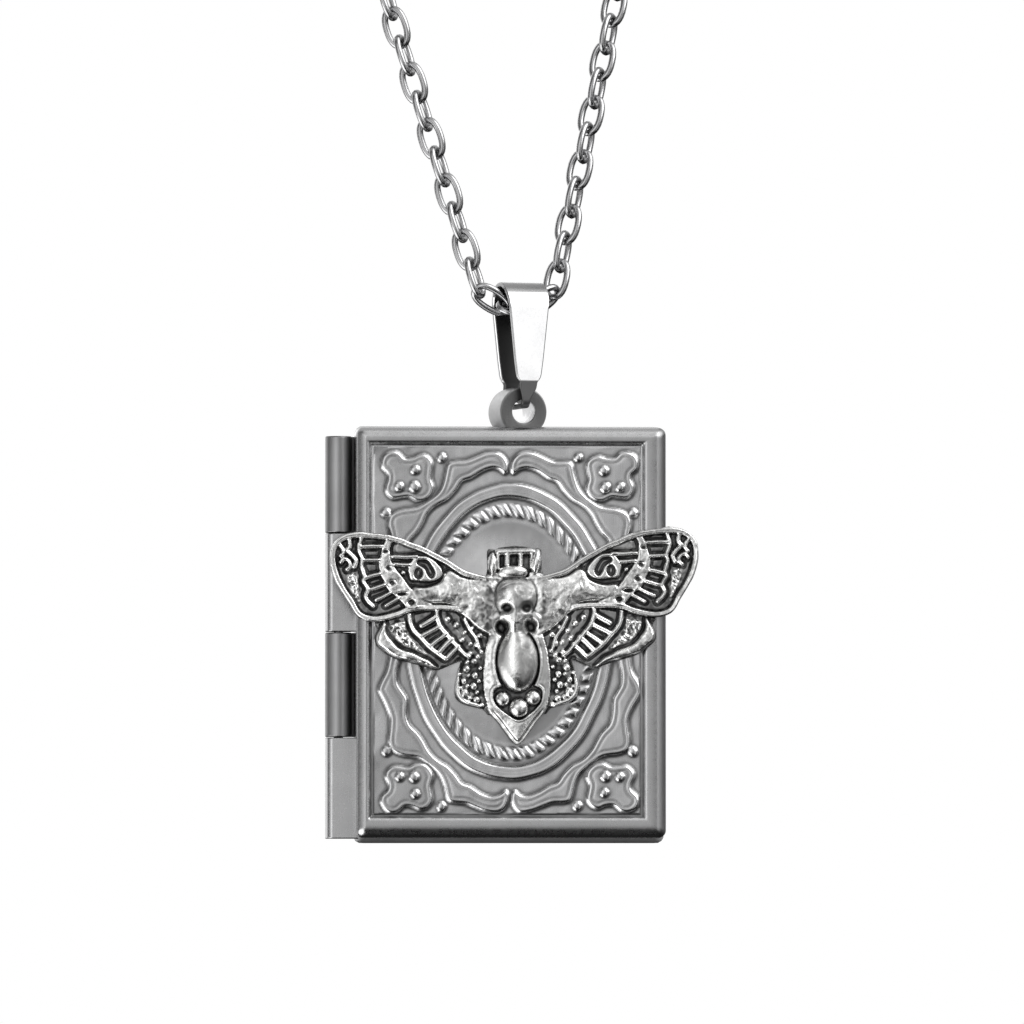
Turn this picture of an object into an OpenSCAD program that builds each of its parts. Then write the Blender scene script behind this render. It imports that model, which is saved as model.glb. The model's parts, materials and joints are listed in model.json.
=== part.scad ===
// Book-shaped locket with a cast death's-head moth, on a bail and a cable chain.
// Millimetres, Z up, the front cover faces -Y. The origin is the inner side of
// the chain loop at the nape, where the necklace rests.

/* [Locket] */
// Width of each half
locket_w = 26.2; // [24:0.1:30]
// Height of the front half
front_h = 34.6; // [33:0.1:34.8]
// Height of the back half
back_h = 34.9; // [34.8:0.1:36]
// Depth of each half
pan_depth = 3; // [2.9:0.05:3.4]
// Thickness of the side walls
wall = 0.7; // [0.6:0.05:0.9]
// Thickness of the front and back plates
plate = 0.6; // [0.5:0.05:0.7]
// Radius of the rounded outer edges
edge_r = 0.7; // [0.4:0.05:0.8]
// Gap between the two closed halves
parting_gap = 0.06; // [0.04:0.01:0.1]
// Height of the closing rim above the parting plane
rim_h = 0.5; // [0.3:0.05:0.7]
// Thickness of the closing rim
rim_t = 0.35; // [0.3:0.05:0.5]
// Gap round the closing rim
rim_gap = 0.12; // [0.1:0.01:0.2]

/* [Border and ornament] */
// Width of the raised border
border_w = 1.5; // [1.2:0.1:1.8]
// Depth of the field below the border
field_depth = 0.25; // [0.15:0.01:0.3]
// Height of the embossed ornament above the field
relief_h = 0.22; // [0.1:0.01:0.24]
// Number of slanted strands in the rope ring
rope_strands = 48; // [36:1:60]
// Slant of a rope strand from the radius
rope_slant = 28; // [10:1:40]

/* [Hinge] */
// Distance of the hinge axis from the locket's side
hinge_offset = 1.34; // [1.3:0.01:1.6]
// Outer radius of the knuckles
knuckle_r = 1.13; // [1:0.01:1.2]
// Radius of the pin
pin_r = 0.4; // [0.35:0.01:0.45]
// Radial clearance of the pin in the front half's knuckles
pin_gap = 0.05; // [0.03:0.01:0.08]
// Radial clearance of the pin in the back half's knuckles
pin_seat_gap = 0.02; // [0.01:0.01:0.03]
// Thickness of the hinge leaves
leaf_t = 0.4; // [0.35:0.01:0.5]
// Gap between two knuckles
knuckle_gap = 0.22; // [0.15:0.01:0.3]

/* [Lug] */
// Sideways place of the lug from the locket's centre
lug_x = 0.7; // [0:0.1:2]
// Place of the lug in front of or behind the parting plane
lug_y = 0; // [-0.5:0.05:0.2]
// Outer radius of the lug
lug_r = 2.08; // [2:0.02:2.2]
// Radius of the lug's hole
lug_hole_r = 1; // [0.95:0.01:1.05]
// Length of the lug along its hole
lug_len = 3.2; // [3:0.05:3.3]
// Height of the lug's hole above the locket's centre
lug_z = 18.66; // [18.6:0.02:18.8]
// Turn of the lug, the bail and the chain about the vertical
lug_turn = 15.5; // [0:0.5:18]

/* [Bail] */
// Height of the bail
bail_h = 10.7; // [10:0.1:12]
// Width of the strip at the top
bail_top_w = 3.56; // [3:0.02:3.6]
// Width of the strip just above the lug
bail_low_w = 1.95; // [1.6:0.05:2.4]
// Width of the folded end in the lug's hole
bail_tail_w = 0.7; // [0.6:0.05:0.8]
// Thickness of the strip
strip_t = 0.4; // [0.35:0.01:0.45]
// Half the bail's depth at its top
bail_half_depth = 2.4; // [2.35:0.05:2.6]

/* [Moth] */
// Sideways place of the moth from the locket's centre
moth_x = 0.3; // [0:0.05:0.5]
// Turn of the moth, right wing up
moth_tilt = 1; // [0:0.25:2]
// Gap between the moth and the cover
moth_gap = 0.06; // [0.05:0.01:0.1]
// Thickness of the wings in their recesses
moth_floor = 0.5; // [0.4:0.05:0.6]
// Thickness of the wings at their raised rims
moth_rim = 1.0; // [0.9:0.05:1.1]

/* [Chain] */
// Distance from link to link
pitch = 2.48; // [2.4:0.01:2.5]
// Outer width of a link
link_w = 2.3; // [2.2:0.02:2.4]
// Thickness of a link's wire
wire = 0.5; // [0.45:0.01:0.52]
// Play between two links
link_play = 0.24; // [0.22:0.01:0.26]
// Links in each straight strand
strand_links = 59; // [50:1:64]
// Links in each half of the neck curve
neck_links = 29; // [26:1:32]
// Angle of a strand from the vertical
strand_lean = 15.3; // [13:0.1:17]
// Lean of the loop towards the nape
loop_lean = 9; // [0:0.5:20]

/* [Clasp] */
// Radius of the clasp's ring to the middle of its tube
ring_r = 3; // [2.6:0.1:3.2]
// Radius of the clasp's tube
ring_tube_r = 0.45; // [0.4:0.01:0.5]
// Radius of the clasp's eye to the middle of its wire
eye_r = 0.9; // [0.85:0.01:1]

/* [Hidden] */
$fn = 48;

steel = "silver";
oxidised = "dimgray";
polished = "gainsboro";

// Tilt of the two links that lead out of the bail
turn_link_tilt = 32;
// Roll of each link about its own length, one way and the next the other way
link_roll = 45;
links_side = 1 + strand_links + neck_links;
neck_step = (90 + strand_lean) / neck_links;

// Direction of link k of the right half in the loop's plane, 0 is level
function link_dir(k) =
    k == 0 ? 0 :
    k == 1 ? turn_link_tilt :
    k <= 1 + strand_links ? 90 - strand_lean :
    90 - strand_lean + (k - 1.5 - strand_links) * neck_step;

// Joints between the links of the right half, from the bail to the nape
joints = [
    for (k = 0, p = [pitch / 2, 0]; k <= links_side; k = k + 1, p = p + pitch * unit(link_dir(k))) p
];
function unit(a) = [cos(a), sin(a)];

nape = joints[links_side];
// From the loop's lowest link to the chain's inner side at the nape
nape_rest = nape[1] - link_w / 2 - 0.1;

// Height of the bail's top above the locket's centre
bail_foot = lug_z + 0.28;
bail_top = bail_foot + bail_h;
// The loop's lowest link lies this far below the bail's inner top
link_drop = 1.7;
swing_z = bail_top - strip_t - link_drop;

// Place of the locket's centre in the part's frame
loop_top = [
    -sin(lug_turn) * sin(loop_lean) * nape_rest,
    cos(lug_turn) * sin(loop_lean) * nape_rest,
    cos(loop_lean) * nape_rest
];
locket_pos = -loop_top - [lug_x, lug_y, swing_z];

field_y = -pan_depth + field_depth;
hinge_x = -locket_w / 2 - hinge_offset;
knuckle_edges = [16.6, 8.4, 0.03, -8.82, -17.4];
moth_back = -pan_depth - moth_gap;

// The ornament's quadrant, distances from the centre lines.
// A scroll that runs from the middle of the top, round the corner, to the middle of the side.
scroll = [
    [0.12, 13.3], [0.15, 13.9], [0.5, 14.5], [1.1, 14.8], [1.95, 14.75], [2.8, 14.4],
    [3.7, 14.05], [4.7, 14.0], [5.2, 13.8], [5.4, 13.2], [5.6, 12.4], [5.9, 11.7],
    [6.45, 11.1], [7.1, 10.6], [7.9, 10.05], [9.0, 9.8], [9.6, 9.5], [9.75, 8.9],
    [9.75, 8.0], [9.85, 6.9], [10.25, 5.7], [10.75, 4.9], [11.0, 4.5], [10.8, 3.8],
    [10.4, 3.0], [10.15, 1.9], [9.95, 0.7], [9.5, 0.3], [9.1, 0.7], [9.2, 1.9],
    [9.45, 3.0], [9.45, 3.95], [8.95, 4.65], [8.5, 5.4], [8.4, 6.6], [8.2, 7.4],
    [7.5, 8.1], [7.1, 8.8], [6.9, 9.5], [6.45, 10.1], [5.9, 10.5], [5.2, 10.9],
    [4.5, 11.6], [4.0, 12.3], [3.25, 12.6], [2.4, 13.15], [1.55, 13.45], [0.9, 13.35],
    [0.4, 13.0]
];
scroll_lift = 0.35;
// The quatrefoil in the corner
quatrefoil = [
    [10.77, 13.74], [10.85, 14.33], [10.5, 14.92], [9.92, 15.2], [9.33, 15.1], [8.85, 14.67],
    [8.2, 14.7], [7.55, 14.92], [6.9, 14.7], [6.5, 14.15], [6.6, 13.4], [6.65, 12.85],
    [6.45, 12.2], [6.65, 11.55], [7.2, 11.1], [7.9, 11.05], [8.55, 11.35], [9.25, 11.28],
    [9.9, 11.25], [10.4, 11.65], [10.5, 12.2], [10.25, 12.8], [10.3, 13.3]
];
// Beads on the quatrefoil: across, up, radius
quatrefoil_beads = [[9.3, 12.2, 0.42], [8.05, 12.2, 0.48], [7.95, 13.6, 0.42]];
// Beads on the field: across, up, radius
field_beads = [[5.75, 14.65, 0.42], [10.45, 10.05, 0.45]];
// Half axes of the oval ring and of the rope inside it
ring_outer = [8.78, 12.46];
ring_inner = [7.75, 11.36];
rope_outer = [7.55, 11.1];
rope_inner = [6.7, 9.75];

// The moth's right half, distances outward from its middle and up from the locket's centre
forewing = [
    [0, 4.6], [2.6, 4.75], [3.9, 5.15], [4.75, 5.6], [6.4, 6.6], [8.05, 7.45], [9.75, 8.1],
    [11.4, 8.5], [13.1, 8.55], [14.2, 8.35], [15.0, 7.95], [15.45, 7.35], [15.6, 6.6],
    [15.5, 5.7], [15.15, 4.6], [14.65, 3.6], [14.0, 2.65], [13.5, 1.8], [13.0, 1.3],
    [12.3, 1.08], [11.1, 1.1], [9.95, 1.4], [8.95, 1.75], [7.75, 1.92], [6.15, 1.9],
    [4.95, 1.75], [4.3, 1.3], [3.4, 0.4], [2.0, -0.2], [0, -0.2]
];
hindwing = [
    [2.0, 1.9], [11.1, 1.3], [11.6, 0.4], [11.9, -0.3], [11.85, -0.9], [11.4, -1.4], [10.75, -1.85],
    [9.9, -2.2], [8.9, -2.47], [8.05, -2.73], [7.2, -3.0], [6.65, -3.08], [6.05, -2.9],
    [5.35, -2.6], [4.7, -2.45], [4.87, -3.2], [5.15, -4.1], [5.25, -4.9], [5.05, -5.5],
    [4.45, -5.9], [3.65, -6.25], [2.85, -6.55], [2.2, -6.8]
];
body_plate = [
    [0, 1.9], [2.3, 1.9], [2.5, -1.0], [2.8, -2.4], [2.8, -4.0], [2.7, -5.4], [2.5, -6.3],
    [2.15, -6.95], [1.55, -7.7], [0.85, -8.7], [0.25, -9.4], [0, -9.45]
];
wing_band = [
    [10.8, 8.0], [11.15, 7.4], [11.3, 6.7], [11.5, 5.85], [11.4, 5.0], [11.1, 4.4], [10.75, 3.75],
    [10.05, 3.05], [9.4, 2.3], [9.05, 1.85], [6.7, 2.3], [7.45, 2.8], [8.1, 3.25], [8.8, 3.85],
    [9.3, 4.55], [9.8, 5.25], [10.2, 5.9], [10.35, 6.6], [10.4, 7.25], [10.15, 7.95]
];
wing_eye = [
    [8.4, 6.4], [7.6, 6.5], [6.95, 6.3], [6.4, 5.8], [6.05, 5.3], [6.05, 4.85], [6.45, 4.5],
    [7.05, 4.34], [8.05, 4.36], [8.8, 4.42], [9.05, 5.05], [9.1, 5.65]
];
wing_eye_crescent = [
    [8.05, 6.05], [7.45, 6.05], [7.05, 5.6], [6.8, 5.1], [7.05, 4.7], [7.3, 4.95], [7.55, 5.45],
    [8.1, 5.8]
];
wing_root = [
    [7.2, 4.0], [6.4, 4.33], [5.4, 4.6], [4.3, 4.5], [3.2, 4.4], [2.0, 4.4], [2.0, 2.3], [3.2, 2.3],
    [4.7, 2.5], [6.4, 2.65], [7.0, 2.9]
];
wing_patch = [
    [13.75, 4.98], [13.25, 5.2], [12.95, 4.7], [12.75, 3.7], [12.85, 2.7], [13.3, 3.0], [13.75, 4.0]
];
hind_band = [
    [11.1, 1.1], [11.55, 0.4], [11.85, -0.3], [11.8, -0.9], [11.35, -1.35], [10.75, -1.8],
    [9.9, -2.15], [8.9, -2.42], [8.05, -2.68], [7.2, -2.95], [6.65, -3.02], [6.7, -2.8], [7.0, -2.5],
    [7.4, -2.15], [8.05, -1.85], [8.7, -1.5], [9.4, -1.3], [9.9, -1.05], [10.4, -0.5], [10.85, 0.25],
    [10.8, 0.9]
];
hind_patch = [
    [10.55, 0.85], [9.2, 1.1], [9.0, 0.25], [8.6, -0.85], [9.35, -1.1], [10.05, -0.75], [10.6, 0.1]
];
// Raised lines of a wing: width, then the points
wing_lines = [
    [0.28, [[12.9, 8.05], [13.1, 7.24], [12.8, 6.4], [12.95, 5.72], [12.6, 4.95], [12.7, 4.53],
        [12.35, 3.85], [12.55, 3.26], [12.4, 2.84], [11.95, 2.4]]],
    [0.26, [[12.9, 7.4], [11.2, 7.4]]],
    [0.26, [[12.85, 6.25], [11.4, 6.25]]],
    [0.26, [[12.6, 4.77], [11.4, 5.05]]],
    [0.26, [[12.35, 3.77], [11.0, 4.15]]],
    [0.26, [[11.7, 2.9], [10.5, 3.5]]],
    [0.26, [[10.9, 2.4], [9.9, 2.9]]],
    [0.3, [[13.9, 8.15], [13.85, 7.42], [14.05, 7.09], [13.6, 6.66], [13.35, 6.24], [13.55, 5.73]]],
    [0.28, [[14.75, 7.6], [14.45, 7.18], [14.4, 6.84], [14.65, 6.6]]],
    [0.28, [[14.65, 6.05], [14.35, 6.35], [13.95, 6.16], [13.9, 5.74], [14.15, 5.5]]],
    [0.24, [[10.2, 6.45], [8.2, 6.42]]],
    [0.22, [[10.1, 5.8], [8.9, 5.8]]],
    [0.34, [[10.0, 6.93], [8.7, 6.98]]],
    [0.32, [[8.95, 1.9], [8.95, 1.26], [8.65, 0.4], [8.1, -0.28], [7.45, -0.97], [6.8, -1.53],
        [5.95, -2.1]]],
    [0.32, [[6.6, 1.9], [6.65, 1.45], [6.3, 0.53], [5.7, -0.24], [5.0, -1.1], [4.45, -1.7],
        [4.0, -2.04]]],
    [0.34, [[7.9, 0.64], [6.8, 1.3]]],
    [0.34, [[7.95, -0.24], [6.55, 0.54]]],
    [0.34, [[7.2, -1.0], [5.8, -0.07]]],
    [0.34, [[6.55, -1.6], [5.35, -0.5]]],
    [0.34, [[5.85, -2.05], [4.85, -1.14]]],
    [0.32, [[4.85, -2.45], [5.0, -3.2], [5.1, -4.1], [5.05, -4.9], [4.7, -5.5], [4.0, -5.95],
        [3.2, -6.2]]],
    [0.55, [[1.5, 4.7], [1.75, 5.7], [1.95, 6.8]]],
    [0.26, [[0.75, 5.6], [0.75, 6.85]]],
    [0.26, [[0, 6.9], [1.3, 6.9]]],
    [0.5, [[2.05, -0.6], [2.25, -1.6], [2.4, -2.9], [2.4, -4.4], [2.2, -5.6], [1.65, -6.6],
        [0.85, -7.7], [0.15, -8.8]]]
];
// Small beads of a wing: out, up, radius
wing_beads = [
    [9.45, 5.15, 0.2], [5.7, 1.15, 0.22], [5.0, 0.68, 0.22], [4.55, -0.6, 0.22], [3.3, -1.0, 0.25],
    [4.2, -3.1, 0.28], [3.6, -2.42, 0.2], [3.5, -3.65, 0.26], [3.6, -4.5, 0.28], [4.4, -5.1, 0.36],
    [3.4, -5.6, 0.26], [4.5, -4.1, 0.2]
];
// Outline of the head above the wings
head_outline = [
    [0, 4.5], [2.1, 4.5], [2.35, 6.9], [1.55, 6.95], [1.35, 7.1], [0, 7.15]
];
// Half profile of the skull: radius, height
skull_side = [
    [0, 4.75], [0.7, 4.7], [1.25, 4.4], [1.6, 3.9], [1.72, 3.3], [1.65, 2.7], [1.45, 2.1],
    [1.4, 1.6], [1.2, 1.1], [0.85, 0.7], [0.7, 0.2], [0.7, -0.3], [0, -0.3]
];
// Half profile of the abdomen: radius, height
abdomen_side = [
    [0, 0.1], [0.8, 0.0], [1.3, -0.5], [1.6, -1.3], [1.68, -2.2], [1.6, -3.1], [1.3, -3.9],
    [0.8, -4.5], [0.3, -4.8], [0, -4.85]
];
skull_axis = 0.35;
abdomen_axis = 0.15;

// Puts a shape of the locket's own frame in the part's frame
module at_locket() {
    translate(locket_pos)
    children();
}

// Stands a flat shape up to face -Y, its face at y = front, its thickness behind that
module upright(front, thick) {
    translate([0, front + thick, 0])
    rotate([90, 0, 0])
    linear_extrude(thick)
    children();
}

// The same shape in all four quadrants
module quadrants() {
    for (sx = [0, 1], sz = [0, 1]) {
        mirror([sx, 0, 0])
        mirror([0, sz, 0])
        children();
    }
}

module both_sides() {
    children();
    mirror([1, 0, 0])
    children();
}

// A flat strip of a given width along points
function strip_normal(p, i) =
    let (a = p[max(i - 1, 0)], b = p[min(i + 1, len(p) - 1)], d = b - a)
    [-d[1], d[0]] / norm(d);
module strip(width, p) {
    left = [for (i = [0:len(p) - 1]) p[i] + strip_normal(p, i) * width / 2];
    right = [for (i = [len(p) - 1:-1:0]) p[i] - strip_normal(p, i) * width / 2];
    polygon(concat(left, right));
}

function oval(half, n) = [for (i = [0:n - 1]) [half[0] * cos(360 * i / n), half[1] * sin(360 * i / n)]];

// One half as a solid block with rounded outer edges, its face at y = -depth
module pan_block(w, h, depth) {
    intersection() {
        translate([0, 0, -h])
        linear_extrude(2 * h)
        pan_profile(w, depth);
        translate([-w, 0, 0])
        rotate([90, 0, 90])
        linear_extrude(2 * w)
        rotate(-90)
        pan_profile(h, depth);
    }
}

// Cross-section of that block: the face at -depth with two round corners
module pan_profile(w, depth) {
    translate([-w / 2, -depth + edge_r])
    square([w, depth - edge_r - parting_gap / 2]);
    translate([-w / 2 + edge_r, -depth])
    square([w - 2 * edge_r, depth - edge_r]);
    for (s = [-1, 1]) {
        translate([s * (w / 2 - edge_r), -depth + edge_r])
        circle(edge_r);
    }
}

module pan(w, h) {
    difference() {
        pan_block(w, h, pan_depth);
        translate([-w / 2 + wall, field_y + plate, -h / 2 + wall])
        cube([w - 2 * wall, pan_depth, h - 2 * wall]);
        translate([-w / 2 + border_w, -pan_depth - 1, -h / 2 + border_w])
        cube([w - 2 * border_w, 1 + field_depth, h - 2 * border_w]);
    }
}

// Two knuckles with the leaf that holds them, from knuckle number first
module knuckles(first) {
    for (k = [first, first + 2]) {
        translate([hinge_x, 0, knuckle_edges[k + 1] + knuckle_gap / 2])
        linear_extrude(knuckle_edges[k] - knuckle_edges[k + 1] - knuckle_gap)
        union() {
            circle(knuckle_r);
            translate([-0.45 * knuckle_r, -0.55 * knuckle_r])
            circle(0.45 * knuckle_r);
            translate([-0.45 * knuckle_r, -knuckle_r])
            square([hinge_offset + 0.45 * knuckle_r + 0.3, leaf_t]);
        }
    }
}

module bore(r) {
    translate([hinge_x, 0, -locket_w])
    cylinder(h = 2 * locket_w, r = r);
}

// The embossing in the field, seen from the front
module ornament() {
    offset(delta = 0.001)
    union() {
        translate([0, scroll_lift])
        quadrants()
        polygon(scroll);
        quadrants()
        polygon(quatrefoil);
        difference() {
            polygon(oval(ring_outer, 72));
            polygon(oval(ring_inner, 72));
        }
        rope();
    }
}

module rope() {
    mid = (rope_outer + rope_inner) / 2;
    for (i = [0:rope_strands - 1]) {
        a = 360 * (i + 0.5) / rope_strands;
        half_len = norm([
            (rope_outer[0] - rope_inner[0]) * cos(a),
            (rope_outer[1] - rope_inner[1]) * sin(a)
        ]) / 2;
        translate([mid[0] * cos(a), mid[1] * sin(a)])
        rotate(atan2(sin(a) * mid[0], cos(a) * mid[1]) - rope_slant)
        polygon(oval([half_len / cos(rope_slant), 0.27], 10));
    }
}

module ornament_beads() {
    for (sx = [-1, 1], sz = [-1, 1], b = concat(quatrefoil_beads, field_beads)) {
        translate([sx * b[0], field_y, sz * b[1]])
        sphere(b[2]);
    }
}

module cover_front() {
    color(steel)
    at_locket()
    difference() {
        union() {
            pan(locket_w, front_h);
            knuckles(1);
            upright(field_y - relief_h, relief_h + plate / 2)
            ornament();
            ornament_beads();
        }
        bore(pin_r + pin_gap);
    }
}

// Rim that lines the back half down to its floor, and that the front half closes over
module closing_rim() {
    w = locket_w - 2 * wall;
    h = front_h - 2 * wall;
    lining = pan_depth - field_depth - plate / 2;
    difference() {
        union() {
            translate([-w / 2 + rim_gap, -rim_h, -h / 2 + rim_gap])
            cube([w - 2 * rim_gap, rim_h + 1, h - 2 * rim_gap]);
            translate([-w / 2 - 0.1, parting_gap / 2, -back_h / 2 + wall / 2])
            cube([w + 0.2, lining, back_h - wall]);
        }
        translate([-w / 2 + rim_gap + rim_t, -2 * rim_h, -h / 2 + rim_gap + rim_t])
        cube([w - 2 * (rim_gap + rim_t), rim_h + 4, h - 2 * (rim_gap + rim_t)]);
    }
}

// The lug's own frame, its hole along Y
module at_lug() {
    translate([lug_x, lug_y, lug_z])
    rotate([0, 0, lug_turn])
    children();
}

module lug() {
    floor_z = back_h / 2 - lug_z;
    foot = [4.9, 2.6, 0.2];
    difference() {
        union() {
            at_lug()
            intersection() {
                union() {
                    rotate([90, 0, 0])
                    cylinder(h = lug_len, r = lug_r, center = true);
                    translate([-foot[0] / 2, -foot[1] / 2, floor_z])
                    cube(foot);
                }
                translate([-4, -4, floor_z])
                cube([8, 8, 8]);
            }
            translate([lug_x - 1.8, 0.1, back_h / 2 - wall / 2])
            cube([3.6, 0.8, wall / 2 + 0.1]);
        }
        at_lug()
        rotate([90, 0, 0])
        cylinder(h = 2 * lug_len, r = lug_hole_r, center = true);
    }
}

module cover_back() {
    color(steel)
    at_locket()
    difference() {
        union() {
            rotate([0, 0, 180])
            pan(locket_w, back_h);
            mirror([0, 1, 0])
            knuckles(0);
            closing_rim();
            lug();
        }
        bore(pin_r + pin_seat_gap);
    }
}

module hinge_pin() {
    end_gap = 0.1;
    low = knuckle_edges[4] + knuckle_gap / 2 + end_gap;
    high = knuckle_edges[0] - knuckle_gap / 2 - end_gap;
    color(steel)
    at_locket()
    translate([hinge_x, 0, low])
    cylinder(h = high - low, r = pin_r);
}

// A shape of the moth's own frame, its back on the cover
module at_moth() {
    at_locket()
    translate([moth_x, moth_back, 0])
    rotate([0, -moth_tilt, 0])
    children();
}

module moth_relief() {
    inset = 0.02;
    rim_w = 0.42;
    offset(delta = -inset)
    both_sides() {
        difference() {
            polygon(forewing);
            offset(delta = -rim_w)
            union() {
                polygon(forewing);
                mirror([1, 0, 0])
                polygon(forewing);
            }
        }
        polygon(wing_band);
        difference() {
            polygon(wing_eye);
            polygon(wing_eye_crescent);
            translate([8.15, 5.07])
            polygon(oval([0.3, 0.42], 10));
        }
        polygon(wing_root);
        polygon(hind_band);
        for (line = wing_lines) {
            strip(line[0], line[1]);
        }
    }
}

module moth_plates() {
    both_sides() {
        polygon(forewing);
        polygon(hindwing);
        polygon(body_plate);
        polygon(head_outline);
    }
}

module moth_patches() {
    both_sides() {
        polygon(wing_patch);
        polygon(hind_patch);
    }
}

// Turned body of the skull or abdomen on an axis above the moth's back
module turned(profile, axis) {
    translate([0, -axis, 0])
    rotate_extrude()
    polygon(profile);
}

module moth_body() {
    bead_out = 1.25;
    difference() {
        union() {
            turned(skull_side, skull_axis);
            turned(abdomen_side, abdomen_axis);
            for (s = [-1, 1]) {
                translate([s * bead_out, -0.8, -5.5])
                sphere(0.6);
                translate([s * 1.0, -1.2, 1.7])
                sphere(0.5);
            }
            translate([0, -0.8, -6.35])
            sphere(0.68);
            translate([-1.2, -1.45, 4.7])
            cube([2.4, 1.2, 1.0]);
        }
        for (s = [-1, 1]) {
            translate([s * 0.87, -1.75, 2.25])
            sphere(0.45);
            translate([s * 1.25, -1.5, 0.5])
            sphere(0.55);
        }
        translate([-5, -0.1, -10])
        cube([10, 10, 20]);
    }
}

module wing_bead_row() {
    for (s = [-1, 1], b = wing_beads) {
        translate([s * b[0], -moth_floor - 0.1, b[1]])
        sphere(b[2]);
    }
}

module moth() {
    color(oxidised)
    at_moth()
    union() {
        upright(-moth_floor, moth_floor)
        offset(delta = 0.001)
        moth_plates();
        upright(-moth_rim, moth_rim - 0.1)
        moth_relief();
        upright(-0.75, 0.65)
        moth_patches();
        wing_bead_row();
        moth_body();
    }
}

// Side view of the bail's strip: across is front to back, up is up
module bail_side(inset) {
    half_top = bail_half_depth - inset;
    half_low = lug_len / 2 + 0.3 + strip_t - inset;
    corner = 0.7 - inset;
    top_z = bail_top - bail_half_depth;
    foot_z = bail_foot + inset;
    translate([0, top_z])
    circle(half_top);
    polygon([
        [-half_top, top_z], [-half_low, foot_z + corner], [-half_low + corner, foot_z],
        [half_low - corner, foot_z], [half_low, foot_z + corner], [half_top, top_z]
    ]);
    for (s = [-1, 1]) {
        translate([s * (half_low - corner), foot_z + corner])
        circle(corner);
    }
}

// Front view of the bail: wide at the top, narrow where it goes through the lug
module bail_front() {
    low_z = bail_foot + 2.5;
    tail_z = bail_foot + 0.75;
    half = [
        [bail_tail_w / 2, bail_foot - 1], [bail_tail_w / 2, tail_z], [bail_low_w / 2 - 0.2, tail_z + 0.8],
        [bail_low_w / 2, low_z], [bail_top_w / 2, bail_top - 0.6], [bail_top_w / 2, bail_top + 1]
    ];
    other = [for (i = [len(half) - 1:-1:0]) [-half[i][0], half[i][1]]];
    polygon(concat(half, other));
}

module bail() {
    color(polished)
    at_locket()
    translate([lug_x, lug_y, 0])
    rotate([0, 0, lug_turn])
    intersection() {
        rotate([90, 0, 90])
        linear_extrude(height = 5, center = true)
        difference() {
            bail_side(0);
            bail_side(strip_t);
        }
        translate([0, 4, 0])
        rotate([90, 0, 0])
        linear_extrude(8)
        bail_front();
    }
}

// The chain loop's own plane, its lowest link at the origin
module at_loop() {
    translate(-loop_top)
    rotate([0, 0, lug_turn])
    rotate([-loop_lean, 0, 0])
    children();
}

// One oval link along X
module link() {
    bar_y = (link_w - wire) / 2;
    end_x = (pitch + link_play + wire) / 2 - bar_y;
    for (s = [0, 1]) {
        mirror([s, 0, 0])
        translate([end_x, 0, 0])
        rotate([0, 0, -90])
        rotate_extrude(angle = 180)
        translate([bar_y, 0])
        circle(wire / 2);
        mirror([0, s, 0])
        translate([-end_x, bar_y, 0])
        rotate([0, 90, 0])
        cylinder(h = 2 * end_x, r = wire / 2);
    }
}

module link_at(k) {
    mid = k == 0 ? [0, 0] : (joints[k - 1] + joints[k]) / 2;
    translate([mid[0], 0, mid[1]])
    rotate([0, -link_dir(k), 0])
    rotate([link_roll + 90 * (k % 2), 0, 0])
    link();
}

module chain_right() {
    color(polished)
    at_loop()
    for (k = [0:links_side]) {
        link_at(k);
    }
}

module chain_left() {
    color(polished)
    at_loop()
    mirror([1, 0, 0])
    for (k = [1:links_side]) {
        link_at(k);
    }
}

// Spring ring and its soldered eye, as one plain piece
module clasp() {
    play = 0.15;
    link_end = nape[0] - link_play / 2;
    ring_x = ring_r - ring_tube_r - play - link_end;
    eye_x = link_end + play + wire / 2 - eye_r;
    color(polished)
    at_loop()
    translate([0, 0, nape[1]])
    rotate([-link_roll, 0, 0])
    union() {
        translate([ring_x, 0, 0])
        rotate_extrude()
        translate([ring_r, 0])
        circle(ring_tube_r);
        translate([eye_x, 0, 0])
        rotate_extrude()
        translate([eye_r, 0])
        circle(wire / 2);
        translate([ring_x + ring_r, 0, 0])
        rotate([0, 90, 0])
        cylinder(h = eye_x - eye_r - ring_x - ring_r, r = 0.3);
    }
}

cover_front();
cover_back();
hinge_pin();
moth();
bail();
chain_right();
chain_left();
clasp();
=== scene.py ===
import json

import bmesh
import bpy
import numpy as np
from mathutils import Matrix
from mathutils.geometry import tessellate_polygon


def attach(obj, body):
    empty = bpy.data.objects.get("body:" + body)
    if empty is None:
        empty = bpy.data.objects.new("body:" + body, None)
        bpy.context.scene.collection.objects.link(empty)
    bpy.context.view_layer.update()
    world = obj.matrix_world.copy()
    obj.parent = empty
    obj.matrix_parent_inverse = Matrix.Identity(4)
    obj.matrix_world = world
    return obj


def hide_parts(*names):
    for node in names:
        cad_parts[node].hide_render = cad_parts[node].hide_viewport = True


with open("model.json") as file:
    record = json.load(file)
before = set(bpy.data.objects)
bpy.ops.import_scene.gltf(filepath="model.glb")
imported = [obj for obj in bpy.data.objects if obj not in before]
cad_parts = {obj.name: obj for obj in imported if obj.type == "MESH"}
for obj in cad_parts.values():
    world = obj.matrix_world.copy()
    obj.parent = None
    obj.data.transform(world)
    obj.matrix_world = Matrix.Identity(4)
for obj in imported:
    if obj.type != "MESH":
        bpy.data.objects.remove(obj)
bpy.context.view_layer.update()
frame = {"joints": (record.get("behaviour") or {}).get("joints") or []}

# CAMERA AND STUDIO
# The necklace hangs free in a white room. A long lens looks at the locket from a little
# to its left and a little below. Soft boxes and round lights stand all round the piece.

HINGE_TO_CENTRE = 14.44
CAMERA_LEFT_DEG, CAMERA_BELOW_DEG, CAMERA_DISTANCE = 4, 2, 800
PICTURE_PIXELS, PIXELS_PER_MM, SENSOR_MM = 1024, 11.84, 36
AIM_RIGHT_PIXELS, AIM_ABOVE_PIXELS = 2.8, 121

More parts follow.
